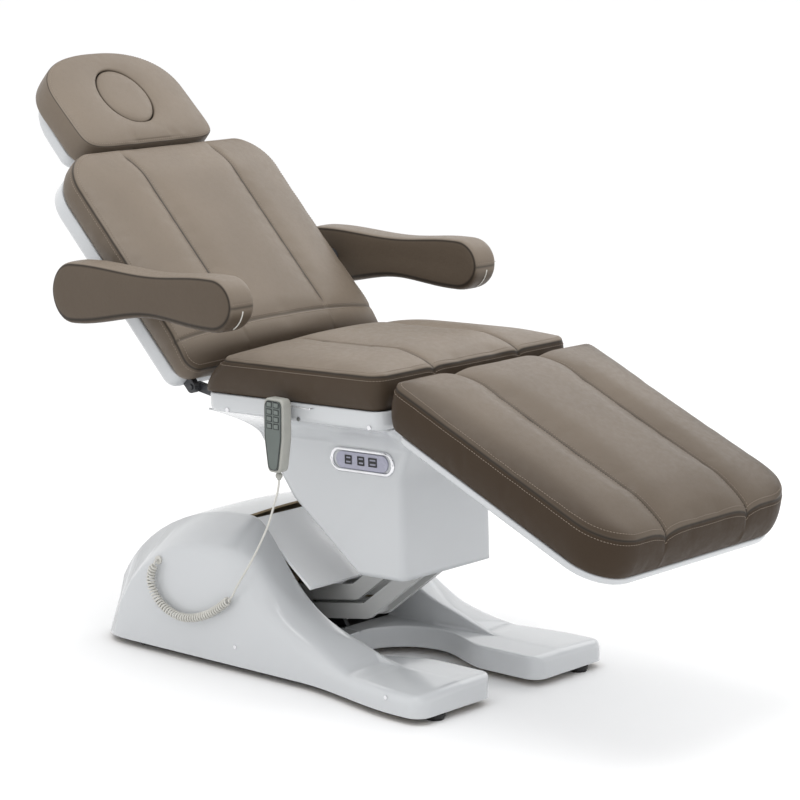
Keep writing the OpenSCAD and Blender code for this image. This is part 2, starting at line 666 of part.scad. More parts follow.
module arm_stay_right() color("dimgray") mirror([0, 1, 0]) arm_stay();

// Headrest, drawn flat with its hinge at the origin
module face_prism(grow, z0, z1)
    translate([face_x, 0, z0]) linear_extrude(z1 - z0)
        polygon([for (a = [0:10:350]) [(face_l + grow) * cos(a), (face_w + grow) * sin(a)]]);
module head_frame() color("dimgray") at_head()
    difference() {
        both_sides() {
            link([-40, 0, -6], [0, 0, 0], 10, 74, 86);
            box([-196, 74, -9], [-36, 86, 8]);
        }
        both_sides() cross_bar([0, 0, 0], 7 + fit, 73, 87);
    }
module head_tray() color("white") at_head()
    difference() {
        pan(-238, -14, 180, 183, 146, 26, -18, 13);
        both_sides() box([-53, 56, -25], [0, 92, 14]);
        face_prism(6, -30, 30);
    }
// The cushion is one ring of sections round the opening for the face, square below and arched at the top
function head_rim(a) = let (n = cos(a) < 0 ? 2.4 : 8)
    [(cos(a) < 0 ? 126 : 131) * sign(cos(a)) * pow(abs(cos(a)), 2 / n),
        188 * sign(sin(a)) * pow(abs(sin(a)), 2 / n)];
module head_cushion() color([0.5, 0.45, 0.4]) at_head() {
    rows = [[0.97, 0], [1, 0.14], [0.98, 0.55], [1, 0.96], [0.95, 1.03], [0.75, 1.1], [0.4, 1.14],
        [0.05, 1.15], [0, 1.12], [0, 0]];
    hole_l = face_l + 0.6;
    hole_w = face_w + 0.6;
    loft([for (a = [350:-10:0])
        let (rim = head_rim(a), hole = [face_x - head_x + hole_l * cos(a), hole_w * sin(a)])
        [for (r = rows) let (q = r[0] > 0.9 ? rim * r[0] : mix(hole, rim, r[0]))
            [q[0] + head_x, q[1], 13 + head_h * r[1]]]], closed = true);
}
module face_plug() color([0.48, 0.43, 0.38]) at_head() {
    rows = [[50, 0.96], [54, 1], [78, 1], [84, 0.95], [87, 0.8], [88, 0.45]];
    loft([for (r = [for (i = [5:-1:0]) rows[i]]) [for (a = [0:15:345])
        [face_x + face_l * r[1] * cos(a), face_w * r[1] * sin(-a), r[0]]]]);
}

// Leg rest, drawn flat with its hinge at the origin
module leg_frame() color("dimgray") at_leg() {
    difference() {
        union() {
            both_sides() {
                box([36, rail_y0 - 16, -8], [520, rail_y0 + 6, 12]);
                link([48, 0, 0], [0, 0, 0], 11.5, rail_y0 + 12, rail_y1);
                box([40, rail_y0, -8], [80, rail_y1, 11]);
            }
            for (x = [50, 260, 492])
                box([x, -rail_y0 + 16, -8], [x + 28, rail_y0 - 16, 12]);
            for (y = [leg_rod_y - 13, leg_rod_y + 7])
                side_plate(y, y + 6) polygon([[52, 8], [76, -8], [leg_lever.x + 10, leg_lever.z + 2],
                    [leg_lever.x + 2, leg_lever.z - 9], [leg_lever.x - 9, leg_lever.z - 2]]);
            cross_bar(leg_lever, lever_pin_r, leg_rod_y - 13, leg_rod_y + 13);
        }
        both_sides() cross_bar([0, 0, 0], pin_r + fit, rail_y0 + 11, rail_y1 + 1);
    }
}
module leg_tray() color("white") at_leg()
    difference() {
        pan(16, 543, 292, 292, 20, 114, -14, 13);
        both_sides() box([0, rail_y0 - 6, -15], [62, rail_y1 + 4, 14]);
        box([0, leg_rod_y - 18, -15], [84, leg_rod_y + 18, 12]);
    }
module leg_cushion() color([0.5, 0.45, 0.4]) at_leg()
    translate([0, 0, 13]) pad(-14, 551, bed_w / 2, bed_w / 2, 24, 122, leg_h, 22, -60, 600);

// Handset
module handset_outline(inset) {
    top = handset_z1 - inset;
    low = handset_z0 + inset;
    w = 26 - inset;
    half = [[w - 6, top], [w, top - 8], [w, low + 66], [17 - inset, low + 5], [12 - inset, low]];
    translate([handset_x, 0]) polygon(concat(half, [for (i = [4:-1:0]) [-half[i][0], half[i][1]]]));
}
module key_place(i)
    translate([handset_x - 12 + key_cols[i % 2], 0, key_rows[floor(i / 2)]]) children();
module handset_shell() color([0.72, 0.71, 0.66])
    difference() {
        side_plate(handset_front, handset_back) handset_outline(0);
        for (i = [0:7])
            key_place(i) box([-key_w / 2 - key_gap, handset_front - 1, -key_h / 2 - key_gap],
                [key_w / 2 + key_gap, handset_front + 2, key_h / 2 + key_gap]);
    }
module handset_keypad() color([0.5, 0.55, 0.52])
    difference() {
        side_plate(handset_front - 2, handset_front) handset_outline(5);
        for (i = [0:7])
            key_place(i) box([-key_w / 2 - key_gap, handset_front - 3, -key_h / 2 - key_gap],
                [key_w / 2 + key_gap, handset_front + 1, key_h / 2 + key_gap]);
    }
module key(i) color([0.6, 0.64, 0.6])
    key_place(i)
        box([-key_w / 2, handset_front - 3, -key_h / 2], [key_w / 2, handset_front + 0.4, key_h / 2]);
module key_1() key(0);
module key_2() key(1);
module key_3() key(2);
module key_4() key(3);
module key_5() key(4);
module key_6() key(5);
module key_7() key(6);
module key_8() key(7);
module handset_hook() color("silver") {
    // Clip behind the handset and the wire that carries it from the edge of the tray
    box([handset_x - 8, handset_back, 566], [handset_x + 8, handset_back + 3, 592]);
    corner = [handset_x + 70, handset_back + 1.5, 582];
    translate(corner) cross_x(1.4, -64, 0);
    translate(corner) sphere(r = 2.2);
    cross_bar(corner, 1.4, corner.y, -seat_half_w + 6);
}
module cord_relief() color([0.72, 0.71, 0.66])
    translate(relief) {
        sphere(r = 7);
        translate([0, 0, -8]) cylinder(r1 = 3.4, r2 = 5, h = 5);
    }

// Cord
// A route is smoothed by a spline, and places along it are found by their distance from its start
function spline_at(p, i, t) =
    let (a = p[max(i - 1, 0)], b = p[i], c = p[i + 1], d = p[min(i + 2, len(p) - 1)])
    0.5 * (2 * b + (c - a) * t + (2 * a - 5 * b + 4 * c - d) * t * t + (3 * b - a - 3 * c + d) * t * t * t);
function spline(p, steps) = [for (i = [0:len(p) - 2], k = [0:steps - 1]) spline_at(p, i, k / steps),
    p[len(p) - 1]];
function distances(p) = [for (i = 0, s = 0; i < len(p);
    s = s + (i + 1 < len(p) ? norm(p[i + 1] - p[i]) : 0), i = i + 1) s];
function along(p, far, s) = [for (axis = [0:2]) lookup(s, [for (i = [0:len(p) - 1]) [far[i], p[i][axis]]])];
// Rings of a tube: each frame is the last one carried along the route
function ways(p) = [for (i = [0:len(p) - 1]) unit(p[min(i + 1, len(p) - 1)] - p[max(i - 1, 0)])];
function carried(u, w) = unit(u - w * (u * w));
function frames(w, first) = [for (i = 0, u = carried(first, w[0]); i < len(w);
    i = i + 1, u = i < len(w) ? carried(u, w[i]) : u) u];
function tube_rings(p, w, r, sides) = let (u = frames(w, [0.3, 0.2, 1]))
    [for (i = [0:len(p) - 1]) [for (k = [0:sides - 1]) let (a = 360 * k / sides)
        p[i] + r * (u[i] * cos(a) + cross(w[i], u[i]) * sin(a))]];
curl_line = spline(curl_route, 16);
curl_far = distances(curl_line);
curl_len = curl_far[len(curl_far) - 1];
curl_steps = curls * 8;
curl_points = [for (i = [1:curl_steps - 1])
    let (share = i / curl_steps, s = share * curl_len, c = along(curl_line, curl_far, s),
        w = unit(along(curl_line, curl_far, min(s + 2, curl_len))
            - along(curl_line, curl_far, max(s - 2, 0))),
        n = cross(w, [0, 1, 0]), a = 45 * i, r = curl_r * smooth(i / 8) * smooth((curl_steps - i) / 8))
    c + r * (n * cos(a) + [0, 1, 0] * sin(a))];
curl_start = [cord_exit, cord_exit - [0, cord_d, 0], [-390, cord_y + 1, 198], curl_route[0]];
curl_path = concat(curl_start, curl_points, [curl_route[len(curl_route) - 1], cord_join]);
curl_ways = let (w = ways(curl_path), n = len(w)) [for (i = [0:n - 1])
    i == 0 ? [0, -1, 0] : i == n - 1 ? unit(cord_join - curl_route[len(curl_route) - 1]) : w[i]];
curl_gap = min([for (i = [0:len(curl_path) - 1], j = [i + 5:min(i + 12, len(curl_path) - 1)])
    if (j < len(curl_path)) norm(curl_path[i] - curl_path[j])]) - cord_d;
module curly_cord() color([0.82, 0.8, 0.74]) {
    echo(least_gap_between_curls = curl_gap);
    loft(tube_rings(curl_path, curl_ways, cord_d / 2, 6));
}
lead_line = spline(lead_route, 3);
lead_ways = let (w = ways(lead_line), n = len(w)) [for (i = [0:n - 1])
    i == 0 ? curl_ways[len(curl_ways) - 1] : i == n - 1 ? [0, 0, 1] : w[i]];
module cord_lead() color([0.82, 0.8, 0.74])
    loft(tube_rings(lead_line, lead_ways, cord_d / 2, 10));

place() base_cover();
place() base_frame();
place() foot_pads();
place() cover_screws();
place() lift_motor();
place() control_box();
place() cord_grommet();
place() mains_gland();
place() base_pins();
place() curly_cord();
place() cord_lead();
place() lift_arms();
place() slot_plate();
place() lift_links();
place() lift_rod();
place() carriage();
place() carriage_pins();
place() tilt_motor();
place() tilt_rod();
place() seat_frame();
place() seat_tray();
place() seat_shroud();
place() seat_cushion();
place() panel_bezel();
place() panel_insert();
place() bezel_screws();
place() tray_screws();
place() handset_hook();
place() handset_shell();
place() handset_keypad();
place() key_1();
place() key_2();
place() key_3();
place() key_4();
place() key_5();
place() key_6();
place() key_7();
place() key_8();
place() back_motor();
place() back_rod();
place() leg_motor();
place() leg_rod();
place() hinge_pins();
place() back_frame();
place() back_tray();
place() back_cushion();
place() head_frame();
place() head_tray();
place() head_cushion();
place() face_plug();
place() arm_pad_left();
place() arm_stay_left();
place() arm_pad_right();
place() arm_stay_right();
place() leg_frame();
place() leg_tray();
place() leg_cushion();
place() cord_relief();
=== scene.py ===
import json
import math
import bpy
import bmesh
import numpy as np
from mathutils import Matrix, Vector
from mathutils.bvhtree import BVHTree


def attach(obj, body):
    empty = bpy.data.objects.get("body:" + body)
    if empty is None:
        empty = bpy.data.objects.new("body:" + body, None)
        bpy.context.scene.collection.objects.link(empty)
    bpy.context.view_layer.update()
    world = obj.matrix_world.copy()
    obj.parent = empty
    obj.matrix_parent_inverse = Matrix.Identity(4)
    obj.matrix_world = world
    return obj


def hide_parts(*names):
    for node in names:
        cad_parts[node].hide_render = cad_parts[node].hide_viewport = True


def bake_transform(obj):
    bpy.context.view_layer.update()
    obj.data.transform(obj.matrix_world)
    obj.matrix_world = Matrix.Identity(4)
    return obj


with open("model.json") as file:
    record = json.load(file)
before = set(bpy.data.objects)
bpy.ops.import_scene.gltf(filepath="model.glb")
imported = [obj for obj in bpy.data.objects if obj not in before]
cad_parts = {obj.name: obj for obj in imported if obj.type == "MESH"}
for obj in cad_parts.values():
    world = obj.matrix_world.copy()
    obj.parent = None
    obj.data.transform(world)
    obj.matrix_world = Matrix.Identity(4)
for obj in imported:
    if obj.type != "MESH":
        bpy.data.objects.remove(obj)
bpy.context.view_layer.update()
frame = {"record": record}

# Places of the part's source, in metres, before the whole bed is set forward by BED_X
BED_X = 0.0306
TILT_PIVOT = (0.010, 0.440)
SEAT_TURN = -2.0
BACK_HINGE = (-0.28485, 0.57379)
BACK_TURN = 45.5
HEAD_HINGE = (-0.69433, 0.97336)
HEAD_TURN = 43.0
LEG_HINGE = (0.28478, 0.56567)
LEG_TURN = 24.0
FLAT_FRAMES = {
    "back": (BACK_HINGE, BACK_TURN),
    "head": (HEAD_HINGE, HEAD_TURN),
    "leg": (LEG_HINGE, LEG_TURN),
}


# Camera of the photo's view

CAMERA_PLACE = (3.9365, -4.4489, 1.6764)
CAMERA_AIM = (0.05216, 0.0, 0.55384)
CAMERA_LENS = 135.5
CAMERA_SENSOR = 36.0
CAMERA_REACH = 60.0


def set_forward(place):
    return (place[0] + BED_X, *place[1:])


def add_camera():
    data = bpy.data.cameras.new("photo_camera")
    data.lens = CAMERA_LENS
    data.sensor_width = CAMERA_SENSOR
    data.clip_end = CAMERA_REACH
    camera = bpy.data.objects.new("photo_camera", data)
    bpy.context.collection.objects.link(camera)
    camera.location = set_forward(CAMERA_PLACE)
    aim = Vector(set_forward(CAMERA_AIM)) - camera.location
    camera.rotation_euler = aim.to_track_quat("-Z", "Y").to_euler()
    bpy.context.scene.camera = camera


add_camera()


# Small tools

def smooth(t):
    u = np.clip(t, 0.0, 1.0)
    return u * u * (3.0 - 2.0 * u)


def in_flat_frame(points, part):
    """Points drawn flat about a hinge, set at the slope of the back, head or leg rest."""
    p = np.asarray(points, float)
    (ox, oz), turn = FLAT_FRAMES[part]
    ox += BED_X
    c, s = math.cos(math.radians(turn)), math.sin(math.radians(turn))
    return np.stack([ox + p[:, 0] * c + p[:, 2] * s, p[:, 1], oz - p[:, 0] * s + p[:, 2] * c], 1)


def in_seat_frame(points):
    """Points drawn with the seat level, after the seat is tilted."""
    p = np.asarray(points, float)
    c, s = math.cos(math.radians(SEAT_TURN)), math.sin(math.radians(SEAT_TURN))
    x, z = p[:, 0] - TILT_PIVOT[0], p[:, 2] - TILT_PIVOT[1]
    return np.stack([BED_X + TILT_PIVOT[0] + x * c + z * s, p[:, 1], TILT_PIVOT[1] - x * s + z * c], 1)


def placed(points, part):
    if part == "seat":
        return in_seat_frame(points)
    if part in FLAT_FRAMES:
        return in_flat_frame(points, part)
    return np.asarray(points, float) + (BED_X, 0, 0)


def run_length(points):
    """Distance along a line of points, at each of them."""
    return np.concatenate([[0.0], np.cumsum(np.linalg.norm(np.diff(points, axis=0), axis=1))])


def even_loop(loop, count):
    """Closed outline with its points set evenly apart."""
    p = np.concatenate([loop, loop[:1]])
    far = run_length(p)
    s = np.linspace(0, far[-1], count + 1)[:-1]
    return np.stack([np.interp(s, far, p[:, 0]), np.interp(s, far, p[:, 1])], 1)


def loop_normals(loop):
    """Directions across a closed outline, seen from above."""
    tangent = np.roll(loop, -1, 0) - np.roll(loop, 1, 0)
    normal = np.stack([tangent[:, 1], -tangent[:, 0]], 1)
    return normal / np.linalg.norm(normal, axis=1)[:, None]


def grid_faces(rows, cols, start=0, wrap=False):
    faces = []
    for i in range(rows - 1):
        row, after = start + i * cols, start + (i + 1) * cols
        for j in range(cols if wrap else cols - 1):
            k = (j + 1) % cols
            faces.append((row + j, row + k, after + k, after + j))
    return faces


def ring_faces(first, second, count):
    """Faces between two rings of points, given by the number of each ring's first point."""
    after = [(k + 1) % count for k in range(count)]
    return [(first + k, first + m, second + m, second + k) for k, m in enumerate(after)]


def make_mesh(name, points, faces, material, soft=True):
    mesh = bpy.data.meshes.new(name)
    mesh.from_pydata([tuple(map(float, p)) for p in points], [], [tuple(int(i) for i in f) for f in faces])
    mesh.validate()
    mesh.polygons.foreach_set("use_smooth", [soft] * len(mesh.polygons))
    piece = bpy.data.objects.new(name, mesh)
    bpy.context.collection.objects.link(piece)
    mesh.materials.append(material)
    return piece


def mend_normals(piece, weld=0.000001):
    """Merge doubled points, unless weld is 0, and turn the faces outwards."""
    b = bmesh.new()
    b.from_mesh(piece.data)
    if weld:
        bmesh.ops.remove_doubles(b, verts=b.verts, dist=weld)
    bmesh.ops.recalc_face_normals(b, faces=b.faces)
    b.to_mesh(piece.data)
    b.free()


def points_of(piece):
    return np.array([v.co for v in piece.data.vertices])


def set_points(piece, points):
    piece.data.vertices.foreach_set("co", points.ravel())
    piece.data.update()


def mark_points(piece, **shares):
    for name, values in shares.items():
        layer = piece.data.attributes.new(name, "FLOAT", "POINT")
        layer.data.foreach_set("value", np.asarray(values, np.float32))


def settle(piece):
    """The piece's modifiers, or a curve's thickness, made part of a plain mesh."""
    bpy.context.view_layer.update()
    graph = bpy.context.evaluated_depsgraph_get()
    done = piece.evaluated_get(graph)
    mesh = bpy.data.meshes.new_from_object(done, preserve_all_data_layers=True, depsgraph=graph)
    if piece.type == "MESH":
        piece.modifiers.clear()
        piece.data = mesh
        return piece
    name = piece.name
    bpy.data.objects.remove(piece)
    fresh = bpy.data.objects.new(name, mesh)
    bpy.context.collection.objects.link(fresh)
    return fresh


def subdivide(piece):
    m = piece.modifiers.new("round_out", "SUBSURF")
    m.levels = m.render_levels = 1
    return settle(piece)


def add_wall(piece, thickness):
    """Wall on the inner side of a skin, still to be settled."""
    m = piece.modifiers.new("wall", "SOLIDIFY")
    m.thickness = thickness
    m.offset = -1.0
    return m


def finish_piece(piece, body, slot, *nodes):
    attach(piece, body)
    if nodes:
        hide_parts(*nodes)


# Materials

class Finish:
    """Node material for one finish of the bed, read in object coordinates."""

    def __init__(self, name, colour, roughness, metallic=0.0):
        self.material = bpy.data.materials.new(name)
        self.material.use_nodes = True
        tree = self.material.node_tree
        self.nodes, self.links = tree.nodes, tree.links
        self.shader = next(n for n in self.nodes if n.type == "BSDF_PRINCIPLED")
        self.colour = colour
        self.set("Base Color", (*colour, 1.0))
        self.set("Roughness", roughness)
        self.set("Metallic", metallic)
        self.where = self.nodes.new("ShaderNodeTexCoord")
        self.height = None

    def set(self, socket, value):
        self.shader.inputs[socket].default_value = value

    def tone(self, share):
        return tuple(min(1.0, c * share) for c in self.colour)

    def mottle(self, scale, detail, low, high):
        """The finish's colour, wandering between two shares of it."""
        return self.tint(self.ramp(self.noise(scale, detail), 0.3, 0.7), self.tone(low), self.tone(high))

    def noise(self, scale, detail=3.0, rough=0.5, stretch=None):
        n = self.nodes.new("ShaderNodeTexNoise")
        n.inputs["Scale"].default_value = scale
        n.inputs["Detail"].default_value = detail
        n.inputs["Roughness"].default_value = rough
        if stretch:
            m = self.nodes.new("ShaderNodeMapping")
            m.inputs["Scale"].default_value = stretch
            self.links.new(self.where.outputs["Object"], m.inputs["Vector"])
            self.links.new(m.outputs["Vector"], n.inputs["Vector"])
        else:
            self.links.new(self.where.outputs["Object"], n.inputs["Vector"])
        return n.outputs["Fac"]

    def cells(self, scale):
        n = self.nodes.new("ShaderNodeTexVoronoi")
        n.feature = "DISTANCE_TO_EDGE"
        n.inputs["Scale"].default_value = scale
        self.links.new(self.where.outputs["Object"], n.inputs["Vector"])
        return n.outputs["Distance"]

    def ramp(self, value, low, high, out_low=0.0, out_high=1.0):
        n = self.nodes.new("ShaderNodeMapRange")
        n.inputs["From Min"].default_value = low
        n.inputs["From Max"].default_value = high
        n.inputs["To Min"].default_value = out_low
        n.inputs["To Max"].default_value = out_high
        self.links.new(value, n.inputs["Value"])
        return n.outputs["Result"]

    def attribute(self, name):
        n = self.nodes.new("ShaderNodeAttribute")
        n.attribute_name = name
        return n.outputs["Fac"]

    def multiply(self, a, b):
        n = self.nodes.new("ShaderNodeMath")
        n.operation = "MULTIPLY"
        self.links.new(a, n.inputs[0])
        self.links.new(b, n.inputs[1])
        return n.outputs[0]

    def tint(self, fac, dark, light):
        """Colour between two tones, by fac."""
        n = self.nodes.new("ShaderNodeMix")
        n.data_type = "RGBA"
        self.links.new(fac, n.inputs["Factor"])
        n.inputs["A"].default_value = (*dark, 1.0)
        n.inputs["B"].default_value = (*light, 1.0)
        return n.outputs["Result"]

    def darken(self, colour, fac, tone):
        """Colour drawn towards a darker tone, by fac."""
        n = self.nodes.new("ShaderNodeMix")
        n.data_type = "RGBA"
        self.links.new(fac, n.inputs["Factor"])
        self.links.new(colour, n.inputs["A"])
        n.inputs["B"].default_value = (*tone, 1.0)
        return n.outputs["Result"]

    def paint(self, colour):
        self.links.new(colour, self.shader.inputs["Base Color"])

    def rough(self, value, low, high):
        self.links.new(self.ramp(value, 0.3, 0.7, low, high), self.shader.inputs["Roughness"])

    def bump(self, value, strength, distance):
        n = self.nodes.new("ShaderNodeBump")
        n.inputs["Strength"].default_value = strength
        n.inputs["Distance"].default_value = distance
        self.links.new(value, n.inputs["Height"])
        if self.height is not None:
            self.links.new(self.height, n.inputs["Normal"])
        self.height = n.outputs["Normal"]
        self.links.new(self.height, self.shader.inputs["Normal"])


TAUPE = (0.185, 0.150, 0.116)
# Painted shade: the share of the leather's colour that its shaded parts are darkened to, where their band
# share is full
PAINTED_SHADE_TONE = (0.25, 0.21, 0.175)


def leather(name, colour):
    """Grained leather: a point's share of band paints shade on it and lowers its specular, its share of seam
    darkens it with a dark seam line and painted crease shade, its share of pucker creases it.
    """
    f = Finish(name, colour, 0.45)
    body = f.mottle(7.0, 4.0, 0.93, 1.05)
    mottled = f.darken(body, f.ramp(f.noise(160.0, 2.0), 0.55, 0.75, 0.0, 0.12), f.tone(0.7))
    band = f.ramp(f.attribute("band"), 0.0, 1.0)
    shaded = f.darken(mottled, band, tuple(c * k for c, k in zip(colour, PAINTED_SHADE_TONE)))
    # Seams and channels darkened: a dark seam line with painted shade in its crease
    f.paint(f.darken(shaded, f.ramp(f.attribute("seam"), 0.3, 0.95, 0.0, 0.85), f.tone(0.07)))
    f.rough(f.noise(90.0, 3.0), 0.40, 0.52)
    f.bump(f.ramp(f.cells(620.0), 0.0, 0.22), 0.20, 0.00025)
    f.bump(f.noise(1500.0, 2.0), 0.12, 0.00012)
    pucker = f.multiply(f.noise(85.0, 2.0, 0.45), f.ramp(f.attribute("pucker"), 0.0, 1.0))
    f.bump(pucker, 0.35, 0.003)
    # The painted shade also lowers the specular level
    f.links.new(f.ramp(band, 0.0, 1.0, 0.26, 0.12), f.shader.inputs["Specular IOR Level"])
    return f.material


def gloss_shell(name, colour, roughness=0.16):
    f = Finish(name, colour, roughness)
    f.paint(f.mottle(3.5, 3.0, 0.985, 1.01))
    f.rough(f.noise(14.0, 4.0), roughness - 0.03, roughness + 0.06)
    f.bump(f.noise(120.0, 1.0), 0.03, 0.0006)
    f.set("Coat Weight", 0.35)
    f.set("Coat Roughness", 0.08)
    return f.material


def plain_plastic(name, colour, roughness, grain=900.0, depth=0.12):
    f = Finish(name, colour, roughness)
    f.paint(f.mottle(30.0, 4.0, 0.94, 1.04))
    f.rough(f.noise(60.0, 3.0), roughness - 0.05, roughness + 0.07)
    f.bump(f.noise(grain, 2.0), depth, 0.0002)
    return f.material


def metal(name, colour, roughness, stretch=None):
    f = Finish(name, colour, roughness, 1.0)
    f.paint(f.mottle(40.0, 3.0, 0.93, 1.03))
    f.rough(f.noise(300.0, 3.0, 0.5, stretch), max(0.02, roughness - 0.05), roughness + 0.08)
    f.bump(f.noise(700.0, 2.0, 0.5, stretch), 0.04, 0.0001)
    return f.material


LEATHER = leather("taupe_leather", TAUPE)
ARM_LEATHER = leather("arm_leather", TAUPE)
THREAD = plain_plastic("seam_thread", (0.25, 0.20, 0.155), 0.6)
SHELL = gloss_shell("white_shell", (0.555, 0.57, 0.585))
# A brighter copy of the white shell for the slot plate: painted light against the shadow it lies in
LIT_PLATE = gloss_shell("white_plate_painted_light", (0.93, 0.945, 0.96))
ENAMEL = gloss_shell("light_enamel", (0.50, 0.505, 0.50), 0.35)
RAW_SHELL = plain_plastic("raw_shell_edge", (0.34, 0.26, 0.16), 0.65, 240.0, 0.4)
PAINTED = plain_plastic("painted_frame", (0.035, 0.036, 0.04), 0.42, 1200.0)
STEEL = metal("bright_steel", (0.55, 0.55, 0.56), 0.28, (1.0, 8.0, 1.0))
CHROME = metal("bright_chrome", (0.80, 0.80, 0.82), 0.07)
MOTOR = plain_plastic("motor_black", (0.018, 0.018, 0.02), 0.5)
BOX_TAN = plain_plastic("box_tan", (0.33, 0.25, 0.15), 0.55)
RUBBER = plain_plastic("foot_rubber", (0.012, 0.012, 0.013), 0.7, 600.0, 0.25)
CORD = plain_plastic("cord_sheath", (0.60, 0.59, 0.55), 0.4)
HANDSET = plain_plastic("handset_shell", (0.36, 0.36, 0.33), 0.42, 1400.0, 0.2)
KEYPAD = plain_plastic("keypad", (0.115, 0.135, 0.125), 0.5, 1400.0, 0.15)
KEY = plain_plastic("key_silicone", (0.15, 0.172, 0.16), 0.55, 1400.0, 0.1)
INSERT = gloss_shell("insert_grey", (0.36, 0.36, 0.45), 0.25)

CAD_FINISHES = {
    "white_shell": SHELL, "painted_frame": PAINTED, "bright_steel": STEEL, "screw_steel": CHROME,
    "motor_black": MOTOR, "box_tan": BOX_TAN, "foot_rubber": RUBBER, "cord_plastic": CORD,
    "handset_grey": HANDSET, "keypad_green": KEYPAD, "key_grey": KEY, "bezel_chrome": CHROME,
    "insert_grey": INSERT, "taupe_leather": LEATHER, "arm_leather": ARM_LEATHER, "plug_leather": LEATHER,
}
# The slot plate gets the brighter copy of the white shell, painted light against its shadow; the lift arms
# and links a light enamel
NODE_FINISHES = {"lift_arms": ENAMEL, "lift_links": ENAMEL, "slot_plate": LIT_PLATE}


def dress_cad_nodes():
    for part in frame["record"]["subparts"]:
        node = bpy.data.objects.get(part["node"])
        if node is None or node.type != "MESH":
            continue
        node.data.materials.clear()
        node.data.materials.append(NODE_FINISHES.get(part["node"], CAD_FINISHES[part["material_slot"]]))


dress_cad_nodes()


# Handset cord: the same route as the solids, with more points to each curl

CORD_D = 0.0044
CURL_R = 0.007
CURLS = 44
POINTS_PER_CURL = 16
CORD_Y = -0.259
# The curls' middle line on the hump, x and z in millimetres
CURL_ROUTE = [(-390, 193), (-397, 180), (-402, 160), (-396, 138), (-378, 117), (-350, 102), (-318, 95),
              (-284, 98), (-246, 110), (-208, 131), (-176, 155)]
CORD_EXIT = (-0.390, -0.249, 0.200)
CORD_DIP = (-0.390, CORD_Y + 0.001, 0.198)
CORD_JOIN = (-0.170, CORD_Y, 0.161)
# The straight lead from the curls to the handset, in millimetres
LEAD_ROUTE = [(-170, -259, 161), (-166, -259, 166), (-150, -263, 188), (-128, -268, 214), (-98, -275, 250),
              (-66, -283, 292), (-36, -291, 336), (-14, -299, 376), (4, -306, 410), (12, -311, 428),
              (14, -312, 436.5)]
CORD_END = (0.014, -0.312, 0.4365)


def spline(points, steps):
    """Smooth line through the points, with steps to each stretch."""
    p = np.asarray(points, float)
    out = []
    for i in range(len(p) - 1):
        a, b, c, d = p[max(i - 1, 0)], p[i], p[i + 1], p[min(i + 2, len(p) - 1)]
        bend, twist = 2 * a - 5 * b + 4 * c - d, 3 * b - a - 3 * c + d
        for k in range(steps):
            t = k / steps
            out.append(0.5 * (2 * b + (c - a) * t + bend * t * t + twist * t ** 3))
    out.append(p[-1])
    return np.array(out)


def cord_path():
    """Middle line of the wire: out of the grommet, round the curls and up the lead."""
    middle = spline([(x / 1000, CORD_Y, z / 1000) for x, z in CURL_ROUTE], 16)
    far = run_length(middle)
    at = lambda s: np.array([np.interp(s, far, middle[:, k]) for k in range(3)])
    total = far[-1]
    steps = CURLS * POINTS_PER_CURL
    points = [np.array(CORD_EXIT), np.array(CORD_EXIT) - (0, CORD_D, 0), np.array(CORD_DIP), middle[0]]
    for i in range(1, steps):
        s = total * i / steps
        way = at(min(s + 0.002, total)) - at(max(s - 0.002, 0.0))
        way /= np.linalg.norm(way)
        out = np.cross(way, (0, 1, 0))
        turn = 2 * math.pi * i / POINTS_PER_CURL
        r = CURL_R * smooth(i / POINTS_PER_CURL) * smooth((steps - i) / POINTS_PER_CURL)
        points.append(at(s) + r * (out * math.cos(turn) + np.array((0, 1, 0)) * math.sin(turn)))
    points.append(middle[-1])
    lead = spline([(x / 1000, y / 1000, z / 1000) for x, y, z in LEAD_ROUTE], 5)
    return placed(points + list(lead), "base")


def tube(name, path, radius, sides, material):
    """Tube along a path, its rings carried along without twist, closed at both ends."""
    p = np.asarray(path, float)
    ways = np.gradient(p, axis=0)
    ways /= np.linalg.norm(ways, axis=1)[:, None]
    up = np.array((0.3, 0.2, 1.0))
    points = []
    for q, w in zip(p, ways):
        up = up - w * up.dot(w)
        up /= np.linalg.norm(up)
        side = np.cross(w, up)
        for k in range(sides):
            a = 2 * math.pi * k / sides
            points.append(q + radius * (up * math.cos(a) + side * math.sin(a)))
    n = len(p)
    faces = grid_faces(n, sides, wrap=True)
    faces.append(tuple(range(sides - 1, -1, -1)))
    faces.append(tuple((n - 1) * sides + k for k in range(sides)))
    piece = make_mesh(name, points, faces, material)
    mend_normals(piece)
    return piece


def make_cord():
    path = cord_path()
    cord = tube("handset_cord", path, CORD_D / 2, 8, CORD)
    leaves, joins, ends = placed([CORD_EXIT, CORD_JOIN, CORD_END], "base").tolist()
    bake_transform(cord)
    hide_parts("curly_cord", "cord_lead")


make_cord()


# Cushions

CHANNEL_Y = 0.128
SEAM_W = 0.003
SEAM_SINK = 0.0016
ROUND_EDGE_W = 0.034
CROWN_RUN = 0.10
CROSS_SEAM_DEPTH, CROSS_SEAM_W = 0.0035, 0.008
# Rings of the side band: share of the way down, and how far they stand out
BAND_PROFILE = [(0.035, 0.0006), (0.09, 0.0018), (0.2, 0.0022), (0.36, 0.0026), (0.55, 0.002),
                (0.74, -0.001), (0.88, -0.005), (0.96, -0.008), (1.0, -0.011)]
FILL_PRESSURE = 4.0
COVER_SLACK = 0.004
CLOTH_FRAMES = 20


